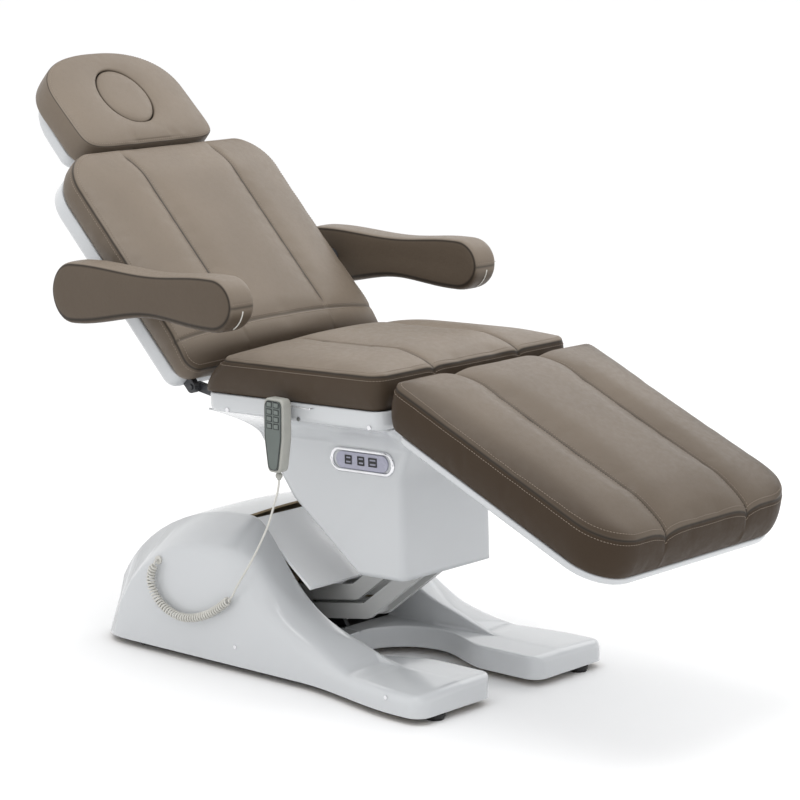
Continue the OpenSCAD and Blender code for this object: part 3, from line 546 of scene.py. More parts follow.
class Pad:
    """Cushion drawn flat with its underside at z = 0: a crowned top with sewn channels, and a side band."""

    # shade is the painted shade on the side band, and the rear and front pair after it the painted shade on
    # the top
    def __init__(self, x0, x1, half_w, r0, r1, height, crown, channel, depth, front_low=0.0, seam_x=None,
                 lean=0.0, edge=0.008, pinch=0.024, run_out=0.10, set_back=0.0, shade=1.0, top_shade=(0.0, 0.0)):
        self.x0, self.x1, self.half_w, self.r0, self.r1 = x0 + lean, x1, half_w, r0, r1
        self.lean, self.edge, self.pinch, self.run_out = lean, edge, pinch, run_out
        self.set_back, self.shade, self.top_shade = set_back, shade, top_shade
        self.height, self.crown, self.channel, self.depth = height, crown, channel, depth
        self.front_low, self.seam_x = front_low, seam_x
        self.build()

    def half_width(self, x):
        w = self.half_w
        for d, r in ((x - self.x0, self.r0), (self.x1 - x, self.r1)):
            if d < r:
                w -= r - math.sqrt(max(0.0, r * r - (r - d) ** 2))
        return w

    def stations(self):
        def arc(r):
            step = 15 if r < 0.05 else 9
            return [r * (1 - math.cos(math.radians(a))) for a in range(0, 91, step)]

        low, high = self.x0 + self.r0, self.x1 - self.r1
        count = max(3, int((high - low) / 0.011))
        inner = [low + (high - low) * k / count for k in range(1, count)]
        xs = [self.x0 + d for d in arc(self.r0)] + inner + [self.x1 - d for d in reversed(arc(self.r1))]
        if self.seam_x is not None:
            for shift in (-0.006, -0.002, 0.002, 0.006):
                xs.append(self.seam_x + shift)
        return sorted(xs)

    def lines(self, w):
        """Lines along the pad, closer together at its channels, which lie at 100 in the list."""
        fixed = [0, 14, 28, 42, 56, 70, 82, 90, 95, 98, 100, 102, 105, 110, 118, 130]
        inner = [v / 1000 * CHANNEL_Y / 0.1 for v in fixed]
        edge = inner[-1]
        outer = [edge + (w - edge) * f for f in (0.1, 0.22, 0.35, 0.48, 0.61, 0.73, 0.83, 0.91, 0.96)]
        half = inner + outer + [w - min(0.0025, (w - edge) * 0.02), w]
        return [-v for v in reversed(half[1:])] + half

    def groove(self, x, y):
        start, stop = self.channel
        d = abs(abs(y) - CHANNEL_Y)
        near = 0.65 * (1 - min(1.0, d / self.pinch)) ** 2 + 0.35 * (1 - min(1.0, d / 0.006))
        return self.depth * near * float(smooth((x - start) / 0.03) * smooth((stop - x) / 0.03))

    def top(self, x, y, w):
        end = min(x - self.x0, self.x1 - x)
        t = min(1.0, max(0.0, min(end, w - abs(y))) / ROUND_EDGE_W)
        edge = self.edge * math.sqrt(1 - (1 - t) ** 2)
        share = float(smooth((x - self.x0) / CROWN_RUN) * smooth((self.x1 - x) / self.run_out)) ** 0.7
        z = self.height + edge + self.crown * share * (1 - abs(y / w) ** 2.3) - self.groove(x, y)
        z -= self.front_low * float(smooth((x - (self.x1 - CROWN_RUN)) / CROWN_RUN))
        if self.seam_x is not None:
            z -= CROSS_SEAM_DEPTH * (1 - min(1.0, abs(x - self.seam_x) / CROSS_SEAM_W)) ** 1.5
        return z

    def build(self):
        xs = self.stations()
        self.points = []
        self.rows, self.cols = len(xs), len(self.lines(self.half_w))
        for x in xs:
            w = self.half_width(x)
            self.points += [(x, y, self.top(x, y, w)) for y in self.lines(w)]
        rim = [i * self.cols for i in range(self.rows)]
        rim += [(self.rows - 1) * self.cols + j for j in range(1, self.cols)]
        rim += [i * self.cols + self.cols - 1 for i in range(self.rows - 2, -1, -1)]
        rim += [j for j in range(self.cols - 2, 0, -1)]
        self.rim = rim
        for k in rim:
            x, y, z = self.points[k]
            self.points[k] = (x, y, z - SEAM_SINK)
        loop = np.array(self.points)[rim]
        normal = loop_normals(loop)
        outward = ((loop[:, :2] - loop[:, :2].mean(0)) * normal).sum(1).mean() > 0
        self.normal = normal if outward else -normal
        self.faces = grid_faces(self.rows, self.cols)
        self.add_side(loop)
        self.add_underside()
        self.points = [(x - self.set_back * z / self.height, y, z) for x, y, z in self.points]
        self.marks()

    def add_side(self, loop):
        """Rings of the side band, from the rim down to the foot."""
        previous, self.bands = self.rim, []
        n = len(self.rim)
        for share, out in BAND_PROFILE:
            ring = []
            for q, d in zip(loop, self.normal):
                ring.append(len(self.points))
                back = self.lean * share ** 0.8 * (1 - float(smooth((q[0] - self.x0 - self.r0) / 0.12)))
                self.points.append((q[0] + d[0] * out - back, q[1] + d[1] * out, q[2] * (1 - share)))
            for k in range(n):
                m = (k + 1) % n
                self.faces.append((previous[k], ring[k], ring[m], previous[m]))
            previous = ring
            self.bands.append(ring)

    def add_underside(self):
        under = dict(zip(self.rim, self.bands[-1]))
        middle = (self.x0 + self.x1) / 2
        for k in range(self.rows * self.cols):
            if k not in under:
                under[k] = len(self.points)
                x, y = self.points[k][:2]
                self.points.append((middle + (x - middle) * 0.95, y * 0.95, 0.0))
        self.faces += [tuple(under[k] for k in f[::-1]) for f in grid_faces(self.rows, self.cols)]

    def marks(self):
        """Each point's shares of seam, pucker and painted shade, and the points the filling doesn't move."""
        p = np.array(self.points)
        top = p[:self.rows * self.cols]
        rim = p[self.rim]
        seam, pucker = np.zeros(len(p)), np.zeros(len(p))
        for k, q in enumerate(p):
            d = np.sqrt(((rim - q) ** 2).sum(1).min())
            seam[k] = math.exp(-(d / SEAM_W) ** 2)
            pucker[k] = 0.5 * math.exp(-(d / 0.030) ** 2)
        for k, (x, y, _) in enumerate(top):
            depth = self.groove(x + self.set_back, math.copysign(CHANNEL_Y, y)) / self.depth
            d = abs(abs(y) - CHANNEL_Y)
            seam[k] = max(seam[k], depth * math.exp(-(d / SEAM_W) ** 2))
            pucker[k] = max(pucker[k], 0.7 * depth * math.exp(-(d / 0.025) ** 2))
            if self.seam_x is not None:
                seam[k] = max(seam[k], math.exp(-(abs(x - self.seam_x) / SEAM_W) ** 2))
        self.seam, self.pucker = seam, pucker
        # Painted shade: the whole side band darker, the rim a little less, the top as set below
        self.band = np.full(len(p), self.shade)
        self.band[:len(top)] = self.top_painted_shade(top)
        self.band[self.rim] = 0.6 * self.shade
        held = set(self.rim) | set(range(self.bands[-2][0], len(p)))
        held |= {k for k in range(len(top)) if seam[k] > 0.6}
        self.held = sorted(held)

    def top_painted_shade(self, top):
        """Painted shade on the top: a painted shadow on the strip below a cross seam, or else shade growing
        towards the front and the rim.
        """
        if self.seam_x is not None:
            return 0.72 * smooth((top[:, 0] - self.seam_x) / 0.05)
        along = smooth((top[:, 0] - self.x0) / (self.x1 - self.x0))
        half_ws = [self.half_width(min(max(q[0], self.x0), self.x1)) for q in top]
        edge = np.array([max(0.0, w - abs(q[1])) for w, q in zip(half_ws, top)])
        rear, front = self.top_shade
        return rear + (front - rear) * along + front * np.exp(-(edge / 0.045) ** 2)


def swell(piece, held, limit):
    """Let the cover swell between its held points, with no point moved further than limit."""
    before = points_of(piece)
    group = piece.vertex_groups.new(name="seams")
    group.add([int(k) for k in held], 1.0, "REPLACE")
    cloth = piece.modifiers.new("filling", "CLOTH")
    s = cloth.settings
    s.quality = 6
    s.mass = 0.25
    s.tension_stiffness = s.compression_stiffness = 18.0
    s.shear_stiffness = 6.0
    s.bending_stiffness = 4.0
    s.use_pressure = True
    s.uniform_pressure_force = FILL_PRESSURE
    s.vertex_group_mass = "seams"
    s.shrink_min = -COVER_SLACK
    s.effector_weights.gravity = 0.0
    cloth.point_cache.frame_start = 1
    cloth.point_cache.frame_end = CLOTH_FRAMES
    scene = bpy.context.scene
    for k in range(1, CLOTH_FRAMES + 1):
        scene.frame_set(k)
    after = points_of(piece.evaluated_get(bpy.context.evaluated_depsgraph_get()))
    piece.modifiers.clear()
    piece.vertex_groups.clear()
    scene.frame_set(1)
    move = after - before
    reach = np.linalg.norm(move, axis=1)
    scale = np.where(reach > 1e-9, limit * np.tanh(reach / limit) / np.maximum(reach, 1e-9), 0.0)
    set_points(piece, before + move * scale[:, None])


def stitch_tree():
    """Stitches along curves: named inputs for their pitch, length and thickness."""
    tree = bpy.data.node_groups.new("stitch_rows", "GeometryNodeTree")
    face = tree.interface
    face.new_socket("Geometry", in_out="INPUT", socket_type="NodeSocketGeometry")
    for name, value in (("Pitch", 0.006), ("Stitch length", 0.0042), ("Thread radius", 0.0006)):
        face.new_socket(name, in_out="INPUT", socket_type="NodeSocketFloat").default_value = value
    face.new_socket("Material", in_out="INPUT", socket_type="NodeSocketMaterial")
    face.new_socket("Geometry", in_out="OUTPUT", socket_type="NodeSocketGeometry")
    n, l = tree.nodes, tree.links
    start, end = n.new("NodeGroupInput"), n.new("NodeGroupOutput")
    points = n.new("GeometryNodeCurveToPoints")
    points.mode = "LENGTH"
    l.new(start.outputs["Geometry"], points.inputs["Curve"])
    l.new(start.outputs["Pitch"], points.inputs["Length"])
    bead = n.new("GeometryNodeMeshUVSphere")
    bead.inputs["Segments"].default_value = 6
    bead.inputs["Rings"].default_value = 5
    bead.inputs["Radius"].default_value = 1.0
    size = n.new("ShaderNodeCombineXYZ")
    half = n.new("ShaderNodeMath")
    half.operation = "MULTIPLY"
    half.inputs[1].default_value = 0.5
    l.new(start.outputs["Stitch length"], half.inputs[0])
    l.new(start.outputs["Thread radius"], size.inputs["X"])
    l.new(start.outputs["Thread radius"], size.inputs["Y"])
    l.new(half.outputs[0], size.inputs["Z"])
    put = n.new("GeometryNodeInstanceOnPoints")
    l.new(points.outputs["Points"], put.inputs["Points"])
    l.new(bead.outputs["Mesh"], put.inputs["Instance"])
    l.new(points.outputs["Rotation"], put.inputs["Rotation"])
    l.new(size.outputs["Vector"], put.inputs["Scale"])
    real = n.new("GeometryNodeRealizeInstances")
    l.new(put.outputs["Instances"], real.inputs["Geometry"])
    shade = n.new("GeometryNodeSetShadeSmooth")
    l.new(real.outputs["Geometry"], shade.inputs["Geometry"])
    cover = n.new("GeometryNodeSetMaterial")
    l.new(shade.outputs["Geometry"], cover.inputs["Geometry"])
    l.new(start.outputs["Material"], cover.inputs["Material"])
    l.new(cover.outputs["Geometry"], end.inputs["Geometry"])
    return tree


STITCHES = stitch_tree()


def set_input(modifier, name, value):
    for item in modifier.node_group.interface.items_tree:
        if item.in_out == "INPUT" and item.name == name:
            modifier[item.identifier] = value
            return
    raise KeyError(name)


def curve_of(name, paths, closed):
    data = bpy.data.curves.new(name, "CURVE")
    data.dimensions = "3D"
    for path, ring in zip(paths, closed):
        s = data.splines.new("POLY")
        s.points.add(len(path) - 1)
        for point, q in zip(s.points, path):
            point.co = (float(q[0]), float(q[1]), float(q[2]), 1.0)
        s.use_cyclic_u = ring
    piece = bpy.data.objects.new(name, data)
    bpy.context.collection.objects.link(piece)
    return piece


STITCH_PITCH, STITCH_LENGTH, THREAD_R = 0.0062, 0.0046, 0.00065
THREAD_LIFT = 0.0003
BESIDE_RIM, BESIDE_SEAM = 0.007, 0.006
ROW_STEP = 0.012
ABOVE_PADS = 0.3


def sew(name, paths, closed, body, slot):
    rows = curve_of(name, paths, closed)
    m = rows.modifiers.new("stitches", "NODES")
    m.node_group = STITCHES
    set_input(m, "Pitch", STITCH_PITCH)
    set_input(m, "Stitch length", STITCH_LENGTH)
    set_input(m, "Thread radius", THREAD_R)
    set_input(m, "Material", THREAD)
    finish_piece(settle(rows), body, slot)


def surface_tree(piece):
    b = bmesh.new()
    b.from_mesh(piece.data)
    tree = BVHTree.FromBMesh(b)
    b.free()
    return tree


def cast_row(tree, starts, ways):
    """Where rays meet the cover, a thread's height above it; a ray that misses leaves no point."""
    row = []
    for start, way in zip(starts, ways):
        place, normal = tree.ray_cast(Vector(start), Vector(way))[:2]
        if place is not None:
            row.append(np.array(place + normal * THREAD_LIFT))
    return row


def drop_row(tree, spots):
    """Points on the top of the cover, below places x, y."""
    return cast_row(tree, [(x, y, ABOVE_PADS) for x, y in spots], [(0, 0, -1)] * len(spots))


def pad_stitch_paths(pad, piece):
    """Rows on both sides of the top seam, of the channels and of the cross seam."""
    tree = surface_tree(piece)
    rim = list(zip(np.array(pad.points)[pad.rim], pad.normal))
    on_top = drop_row(tree, [(q[0] - d[0] * BESIDE_RIM, q[1] - d[1] * BESIDE_RIM) for q, d in rim])
    beside = [(q[0] + d[0] * 0.05, q[1] + d[1] * 0.05, q[2] - BESIDE_RIM) for q, d in rim]
    on_side = cast_row(tree, beside, [(-d[0], -d[1], 0) for _, d in rim])
    rows = []
    start, stop = max(pad.channel[0], pad.x0 + 0.012), min(pad.channel[1], pad.x1 - 0.012)
    along = np.arange(start + 0.02, stop - 0.005, ROW_STEP)
    for y in (-CHANNEL_Y, CHANNEL_Y):
        for shift in (-BESIDE_SEAM, BESIDE_SEAM):
            rows.append(drop_row(tree, [(x, y + shift) for x in along]))
    if pad.seam_x is not None:
        w = pad.half_width(pad.seam_x) - 0.01
        for shift in (-BESIDE_SEAM, BESIDE_SEAM):
            rows.append(drop_row(tree, [(pad.seam_x + shift, y) for y in np.arange(-w, w, ROW_STEP)]))
    return [on_top, on_side] + rows, [True, True] + [False] * len(rows)


def make_cushion(name, pad, low, part, node, limit):
    """Cushion at height low in the frame of its part, swollen, smoothed and sewn."""
    piece = make_mesh(name, pad.points, pad.faces, LEATHER)
    mend_normals(piece, weld=0)
    mark_points(piece, seam=pad.seam, pucker=pad.pucker, band=pad.band)
    swell(piece, pad.held, limit)
    piece = subdivide(piece)
    paths, closed = pad_stitch_paths(pad, piece)
    to_place = lambda points: placed(np.asarray(points, float) + (0, 0, low), part)
    set_points(piece, to_place(points_of(piece)))
    finish_piece(piece, part, "taupe_leather", node)
    sew(name + "_stitches", [to_place(p) for p in paths], closed, part, "taupe_leather")


# Heights of the trays' rims, where the cushions lie, each in the frame of its part
SEAT_Z, BACK_Z, LEG_Z, HEAD_Z = 0.586, 0.012, 0.003, 0.013
# Each cushion's painted shade: shade on its side band, and for the leg pad painted shade on its top from rear
# to front
SEAT_PAD = Pad(-0.228, 0.257, 0.291, 0.034, 0.030, height=0.068, crown=0.026, channel=(-0.12, 0.30),
               depth=0.006, lean=0.066, edge=0.009, shade=0.9)
BACK_PAD = Pad(-0.550, -0.003, 0.291, 0.088, 0.030, height=0.059, crown=0.030, channel=(-0.545, -0.068),
               depth=0.005, front_low=0.012, seam_x=-0.070, edge=0.007, pinch=0.014, run_out=0.03, shade=0.34)
LEG_PAD = Pad(-0.012, 0.551, 0.300, 0.024, 0.088, height=0.080, crown=0.022, channel=(-0.06, 0.60),
              depth=0.015, edge=0.014, pinch=0.050, set_back=0.017, top_shade=(0.18, 0.45))
make_cushion("seat_pad", SEAT_PAD, SEAT_Z, "seat", "seat_cushion", 0.005)
make_cushion("back_pad", BACK_PAD, BACK_Z, "back", "back_cushion", 0.004)
make_cushion("leg_pad", LEG_PAD, LEG_Z, "leg", "leg_cushion", 0.007)


# Headrest: a ring of sections round the opening for the face, and its plug

HEAD_H = 0.064
HEAD_X = -0.125
FACE_X, FACE_L, FACE_W = -0.119, 0.076, 0.065
# Section of the headrest, from the foot of its side over the top to the foot of the opening:
# share of the way from the opening to the rim, and share of the height
HEAD_ROWS = [(0.955, 0.0), (0.982, 0.05), (0.996, 0.15), (1.003, 0.34), (1.004, 0.6), (1.003, 0.84),
             (1.001, 0.955), (0.999, 0.972), (0.9955, 0.972), (0.990, 0.99), (0.972, 1.018), (0.94, 1.04),
             (0.90, 1.058), (0.80, 1.087), (0.66, 1.114), (0.5, 1.132), (0.34, 1.142), (0.2, 1.142),
             (0.1, 1.137), (0.04, 1.127), (0.008, 1.10), (0.0, 1.05), (0.0, 0.6), (0.0, 0.0)]
# Section of the plug: height in millimetres, and share of its half width
PLUG_ROWS = [(50, 0.9), (51.5, 0.96), (55, 0.99), (66, 0.992), (76, 0.99), (80, 0.98), (83.5, 0.945),
             (85.8, 0.86), (87.4, 0.70), (88.2, 0.46), (88.5, 0.18)]


def head_rim(a):
    c, s = math.cos(a), math.sin(a)
    n = 2.4 if c < 0 else 8.0
    reach = 0.126 if c < 0 else 0.133
    half = 0.188 + 0.005 * max(0.0, c)
    return np.array((math.copysign(reach * abs(c) ** (2 / n), c), math.copysign(half * abs(s) ** (2 / n), s)))


def even_angles(outline, count, fine=720):
    """Angles at which the outline's points lie evenly apart."""
    a = np.linspace(0, 2 * math.pi, fine + 1)
    p = np.array([outline(v) for v in a])
    far = run_length(p)
    return np.interp(np.linspace(0, far[-1], count + 1)[:-1], far, a)


def head_point(rim, share, up):
    turn = math.atan2(rim[1] / FACE_W, rim[0] / FACE_L)
    long, wide = FACE_L + 0.0006, FACE_W + 0.0006
    hole = np.array((FACE_X - HEAD_X + long * math.cos(turn), wide * math.sin(turn)))
    q = rim * share if share > 0.9 else hole + (rim * 0.985 - hole) * share / 0.985
    return (HEAD_X + q[0], q[1], HEAD_H * up)


def make_head_pad():
    rims = [head_rim(a) for a in even_angles(head_rim, 112)]
    n = len(rims)
    points, seam, pucker, band, held = [], [], [], [], []
    for share, up in HEAD_ROWS:
        sewn = share in (0.999, 0.9955) or (share == 0.0 and up > 1.0)
        if sewn or up < 0.05 or share == 0.0:
            held += range(len(points), len(points) + n)
        points += [head_point(rim, share, up) for rim in rims]
        seam += [1.0 if sewn else 0.0] * n
        # Painted shade on the headrest's sides and foot
        band += [0.18 if share > 0.9955 or up < 0.5 else 0.0] * n
        pucker += [0.5 if 0.9 < share < 0.99 or share < 0.2 else 0.05] * n
    faces = grid_faces(len(HEAD_ROWS), n, wrap=True) + ring_faces((len(HEAD_ROWS) - 1) * n, 0, n)
    piece = make_mesh("head_pad", points, faces, LEATHER)
    mend_normals(piece, weld=0)
    mark_points(piece, seam=seam, pucker=pucker, band=band)
    swell(piece, held, 0.003)
    piece = subdivide(piece)
    row = drop_row(surface_tree(piece), [(HEAD_X + rim[0] * 0.965, rim[1] * 0.965) for rim in rims])
    to_place = lambda points: placed(np.asarray(points, float) + (0, 0, HEAD_Z), "head")
    set_points(piece, to_place(points_of(piece)))
    finish_piece(piece, "head", "taupe_leather", "head_cushion")
    sew("head_pad_stitches", [to_place(row)], [True], "head", "taupe_leather")


def make_plug():
    count = 72
    points, seam = [], []
    for z, share in PLUG_ROWS:
        for k in range(count):
            a = 2 * math.pi * k / count
            points.append((FACE_X + FACE_L * share * math.cos(a), FACE_W * share * math.sin(a), z / 1000))
            seam.append(0.9 if z in (76, 80) else 0.0)
    faces = grid_faces(len(PLUG_ROWS), count, wrap=True)
    faces.append(tuple(range(count - 1, -1, -1)))
    faces.append(tuple((len(PLUG_ROWS) - 1) * count + k for k in range(count)))
    piece = make_mesh("face_plug_pad", in_flat_frame(points, "head"), faces, LEATHER)
    mark_points(piece, seam=seam, pucker=[0.2] * len(points))
    mend_normals(piece)
    finish_piece(piece, "plug", "plug_leather", "face_plug")


make_head_pad()
make_plug()


# Armrests

ARM_REAR, ARM_FRONT = -0.532, -0.027
ARM_SEAMS = (0.3330, 0.3970)
# Rows across an armrest: distance from the bed's middle, inset of the outline, share drawn to the middle line
ARM_ROWS = [(0.3316, 0.006, 0.97), (0.3311, 0.006, 0.55), (0.3312, 0.006, 0.25), (0.3317, 0.006, 0.08),
            (0.3323, 0.0054, 0.02), (0.3330, 0.0045, 0.0), (0.3337, 0.0028, 0.0), (0.3360, 0.0008, 0.0),
            (0.3420, -0.0004, 0.0), (0.3520, -0.0010, 0.0), (0.3650, -0.0012, 0.0), (0.3780, -0.0010, 0.0),
            (0.3880, -0.0004, 0.0), (0.3940, 0.0008, 0.0), (0.3963, 0.0028, 0.0), (0.3970, 0.0045, 0.0),
            (0.3980, 0.0054, 0.02), (0.3988, 0.006, 0.08), (0.3997, 0.006, 0.25), (0.4003, 0.006, 0.55),
            (0.4004, 0.006, 0.97)]


def arm_middle(t):
    return 0.761 + 0.016 * float(smooth(t / 0.6))


def arm_outline(t, upper):
    """Point of the armrest's side outline: t runs from 0 at its rear to 1 at its front."""
    if t < 0.55:
        half = 0.043 + 0.019 * smooth((0.55 - t) / 0.42)
    else:
        half = 0.043 + 0.010 * smooth((t - 0.55) / 0.30)
    rear, front = [math.sqrt(max(0.0, 1 - max(0.0, d / 0.11) ** 2)) for d in (0.11 - t, t - 0.89)]
    half *= rear * front
    return np.array((ARM_REAR + (ARM_FRONT - ARM_REAR) * t, arm_middle(t) + (half if upper else -half)))


def arm_loop(count):
    rear = 0.11 * (1 - np.cos(np.linspace(0, math.pi / 2, 12)))
    front = 1 - 0.11 * (1 - np.cos(np.linspace(math.pi / 2, 0, 12)))
    ease = np.concatenate([rear, np.linspace(0.11, 0.89, 40)[1:-1], front])
    low = [arm_outline(t, False) for t in ease]
    high = [arm_outline(t, True) for t in ease[::-1]]
    return even_loop(np.array(low + high[1:-1]), count)


def arm_seam(y, inset, at_tip):
    """Share of seam: full on the two seams, less down the tip and beside the seams."""
    if y in ARM_SEAMS:
        return 1.0
    if at_tip:
        return 0.8
    return 0.6 if inset in (0.0054, 0.0028) else 0.0


def make_arm(name, side):
    count = 150
    loop = arm_loop(count)
    normal = loop_normals(loop)
    spine_x = np.clip(loop[:, 0], ARM_REAR + 0.055, ARM_FRONT - 0.05)
    share = (spine_x - ARM_REAR) / (ARM_FRONT - ARM_REAR)
    spine = np.array([(x, arm_middle(t)) for x, t in zip(spine_x, share)])
    under = 1 + 0.9 * np.maximum(0.0, -normal[:, 1])
    tip = int(np.argmax(loop[:, 0]))
    points, seam, pucker, band = [], [], [], []
    for y, inset, draw in ARM_ROWS:
        for k in range(count):
            at = loop[k] - normal[k] * (inset * (under[k] if inset > 0 else 1.0))
            at = at + (spine[k] - at) * draw
            if k == tip and 0.334 < y < 0.396:
                at = at - normal[k] * 0.0012
            points.append((at[0], side * y, at[1]))
            seam.append(arm_seam(y, inset, k == tip and draw == 0.0))
            pucker.append(0.5 if abs(y - 0.365) > 0.02 else 0.15)
            # Painted shade on the side panels, and on the faces turned downwards
            band.append(0.62 if inset >= 0.0045 else 0.75 * float(smooth(-normal[k][1] / 0.5)))
    faces = grid_faces(len(ARM_ROWS), count, wrap=True)
    half = count // 2
    for start in (0, (len(ARM_ROWS) - 1) * count):
        for k in range(1, half - 1):
            faces.append(tuple(start + v % count for v in (k, k + 1, count - k - 1, count - k)))
        faces.append((start, start + 1, start + count - 1))
        faces.append((start + half - 1, start + half, start + half + 1))
    piece = make_mesh(name, placed(points, "arm"), faces, ARM_LEATHER)
    mend_normals(piece, weld=0)
    mark_points(piece, seam=seam, pucker=pucker, band=band)
    piece = subdivide(piece)
    body = "arm_left" if side > 0 else "arm_right"
    node = "arm_pad_left" if side > 0 else "arm_pad_right"
    finish_piece(piece, body, "arm_leather", node)
    strip = [loop[k % count] + normal[k % count] * 0.0011 for k in range(tip - 1, tip - 8, -1)]
    path = placed([(x, side * 0.366, z) for x, z in strip], "arm")
    zip_strip = tube(name + "_zip", path, 0.0014, 8, CORD)
    finish_piece(zip_strip, body, "arm_leather")
    middle = loop[(tip + 1) % count]
    row = [(middle[0] + 0.0016, side * y, middle[1]) for y in np.arange(0.338, 0.393, 0.006)]
    sew(name + "_stitches", [placed(row, "arm")], [False], body, "arm_leather")


make_arm("arm_rest_left", 1)
make_arm("arm_rest_right", -1)


# Base cover: one skin over the hump, the cheeks and the legs, from the same rules as the solid

FOOT_H, LEG_TOP, HUMP_H, SLOT_W = 0.014, 0.062, 0.303, 0.145
HUMP_X, SLOT_X, BASE_FRONT, PAN_Z = -0.230, -0.222, 0.355, 0.058
NOSE = 0.032
HUMP_REAR = 0.392
COVER_WALL, TRAY_WALL, SHROUD_WALL = 0.0045, 0.003, 0.004
SHARP_ANGLE = 42.0
CUT_R, CUT_X, CUT_W = 0.118, 0.062, 0.066


def nose_round(x):
    """How far the round front end of a leg draws each of its sides in."""
    d = x - (BASE_FRONT - NOSE)
    return NOSE - math.sqrt(max(0.0, NOSE ** 2 - d ** 2)) if d > 0 else 0.0


def floor_half_w(x):
    if x > -0.480:
        w = 0.246 + 0.045 * float(smooth(x / 0.300))
    else:
        w = 0.246 * math.sqrt(max(0.02, 1 - ((-0.480 - x) / 0.145) ** 3))
    return w - nose_round(x)


def front_share(x):
    return max(0.0, (x - SLOT_X) / 0.360)


def nose_drop(x):
    d = max(0.0, (x - (BASE_FRONT - 0.020)) / 0.020)
    return 0.014 * (1 - math.sqrt(max(0.0, 1 - d * d)))


def ridge_z(x):
    if x < HUMP_X:
        return HUMP_H * math.sqrt(max(0.0004, 1 - ((HUMP_X - x) / HUMP_REAR) ** 2))
    t = front_share(x)
    hump = (HUMP_H - LEG_TOP) / (1 + (t / 0.36) ** 2.2) * (1 - float(smooth((x - 0.060) / 0.190)))
    return max(LEG_TOP + hump - 0.006 * float(smooth(t - 0.4)) - nose_drop(x), pan_z(x) + 0.0004)


def pan_z(x):
    """Floor between the cheeks, which becomes the flat top of the legs."""
    return PAN_Z + (LEG_TOP - 0.0012 - PAN_Z) * float(smooth((x - 0.02) / 0.15)) - nose_drop(x)


def crease_z(x):
    if x < HUMP_X:
        return 0.250 * math.sqrt(max(0.0004, 1 - ((HUMP_X - x) / 0.300) ** 2)) if x > -0.53 else 0.02
    return max(LEG_TOP, LEG_TOP + 0.188 * (1 - front_share(x) ** 2)) - nose_drop(x)


def crease_y(x):
    return min(floor_half_w(x), SLOT_W + 0.008 + 0.094 * float(smooth((0.150 - x) / 0.400)))


def side_z(x):
    if x < HUMP_X:
        return 0.85 * crease_z(x)
    t = front_share(x)
    t = t * t / (t + 0.05)
    return LEG_TOP - 0.006 + (0.2125 - LEG_TOP + 0.006) * max(0.0, 1 - t) ** 1.5 - nose_drop(x)


def cut_half_w(x):
    """Half width of the opening between the legs."""
    if x <= CUT_X - CUT_R:
        return 0.0
    if x < CUT_X:
        w = math.sqrt(max(0.0, CUT_R ** 2 - (x - CUT_X) ** 2))
    else:
        w = CUT_W + (CUT_R - CUT_W) * (1 - float(smooth((x - CUT_X) / 0.160)))
    return w + nose_round(x)


def rounded(points, radii, steps=6):
    """Polyline with its inner corners rounded, the same count of points whatever its shape."""
    p = [np.array(q, float) for q in points]
    out = [p[0]]
    for k in range(1, len(p) - 1):
        a, b, c = p[k - 1], p[k], p[k + 1]
        la, lc = np.linalg.norm(a - b), np.linalg.norm(c - b)
        r = min(radii[k - 1], 0.47 * la, 0.47 * lc)
        s = b + (a - b) * (r / max(la, 1e-9))
        e = b + (c - b) * (r / max(lc, 1e-9))
        for i in range(steps + 1):
            t = i / steps
            out.append((1 - t) ** 2 * s + 2 * t * (1 - t) * b + t * t * e)
    out.append(p[-1])
    return out


def cover_stations(low, high, step, extra=()):
    n = max(2, int((high - low) / step))
    even = [low + (high - low) * k / n for k in range(n + 1)]
    return sorted({round(v, 6) for v in (*even, *extra)})


REAR_ANGLES = (2.5, 4, 6, 8.5, 11.5, 15, 19, 23, 28, 33, 39, 45, 51, 57, 63, 69, 75, 81)
NOSE_ANGLES = (10, 20, 30, 40, 50, 60, 68, 75, 81, 86, 89)
CUT_REAR = CUT_X - CUT_R
REAR_STATIONS = [HUMP_X - HUMP_REAR * math.cos(math.radians(a)) for a in REAR_ANGLES]
FRONT_STATIONS = cover_stations(SLOT_X, BASE_FRONT - NOSE, 0.007,
                                (-0.100, CUT_REAR, CUT_REAR + 0.0006, CUT_REAR + 0.002, CUT_REAR + 0.0045))
NOSE_STATIONS = [BASE_FRONT - NOSE + NOSE * math.sin(math.radians(a)) for a in NOSE_ANGLES]


def ridge(x):
    return min(SLOT_W + 0.009, floor_half_w(x) - 0.012), max(ridge_z(x), FOOT_H + 0.004)


def outer_section(x):
    """From the ridge over the crease and down the side wall."""
    w = floor_half_w(x)
    ridge_y, top = ridge(x)
    fold_y = max(crease_y(x), ridge_y + 0.004)
    fold_z = min(max(crease_z(x), FOOT_H + 0.003), top)
    wall_z = min(max(side_z(x), FOOT_H + 0.002), fold_z - 0.0005)
    fold_y = min(fold_y, w - 0.0005)
    return rounded([(ridge_y, top), (fold_y, fold_z), (w, wall_z), (w, FOOT_H)], (0.030, 0.035), 7)


def section_rows(xs, section):
    return [[(x, q[0], q[1]) for q in section(x)] for x in xs]


def roof_section(x):
    ridge_y, top = ridge(x)
    return [(ridge_y * k / 14, top + 0.006 * (1 - (k / 14) ** 2)) for k in range(15)]


def lip_section(x):
    top = ridge_z(x)
    return rounded([(SLOT_W - 0.001, top - 0.030), (SLOT_W, top), (SLOT_W + 0.009, top)], (0.007,), 6)


def inner_section(x):
    """From the edge of the opening over the pan and up the inside of the cheek to its ridge."""
    edge = cut_half_w(x)
    top = ridge_z(x)
    pan = min(pan_z(x), top - 0.0002)
    foot_y = max(SLOT_W - 0.002, edge + 0.004)
    ridge_y = max(min(SLOT_W + 0.009, floor_half_w(x) - 0.012), foot_y + 0.006)
    wall = (foot_y + 0.001, max(top - 0.001, pan + 0.0002))
    line = [(edge, FOOT_H), (edge, pan), (foot_y, pan), wall, (ridge_y, top)]
    return rounded(line, (0.006, 0.010, 0.007), 6)


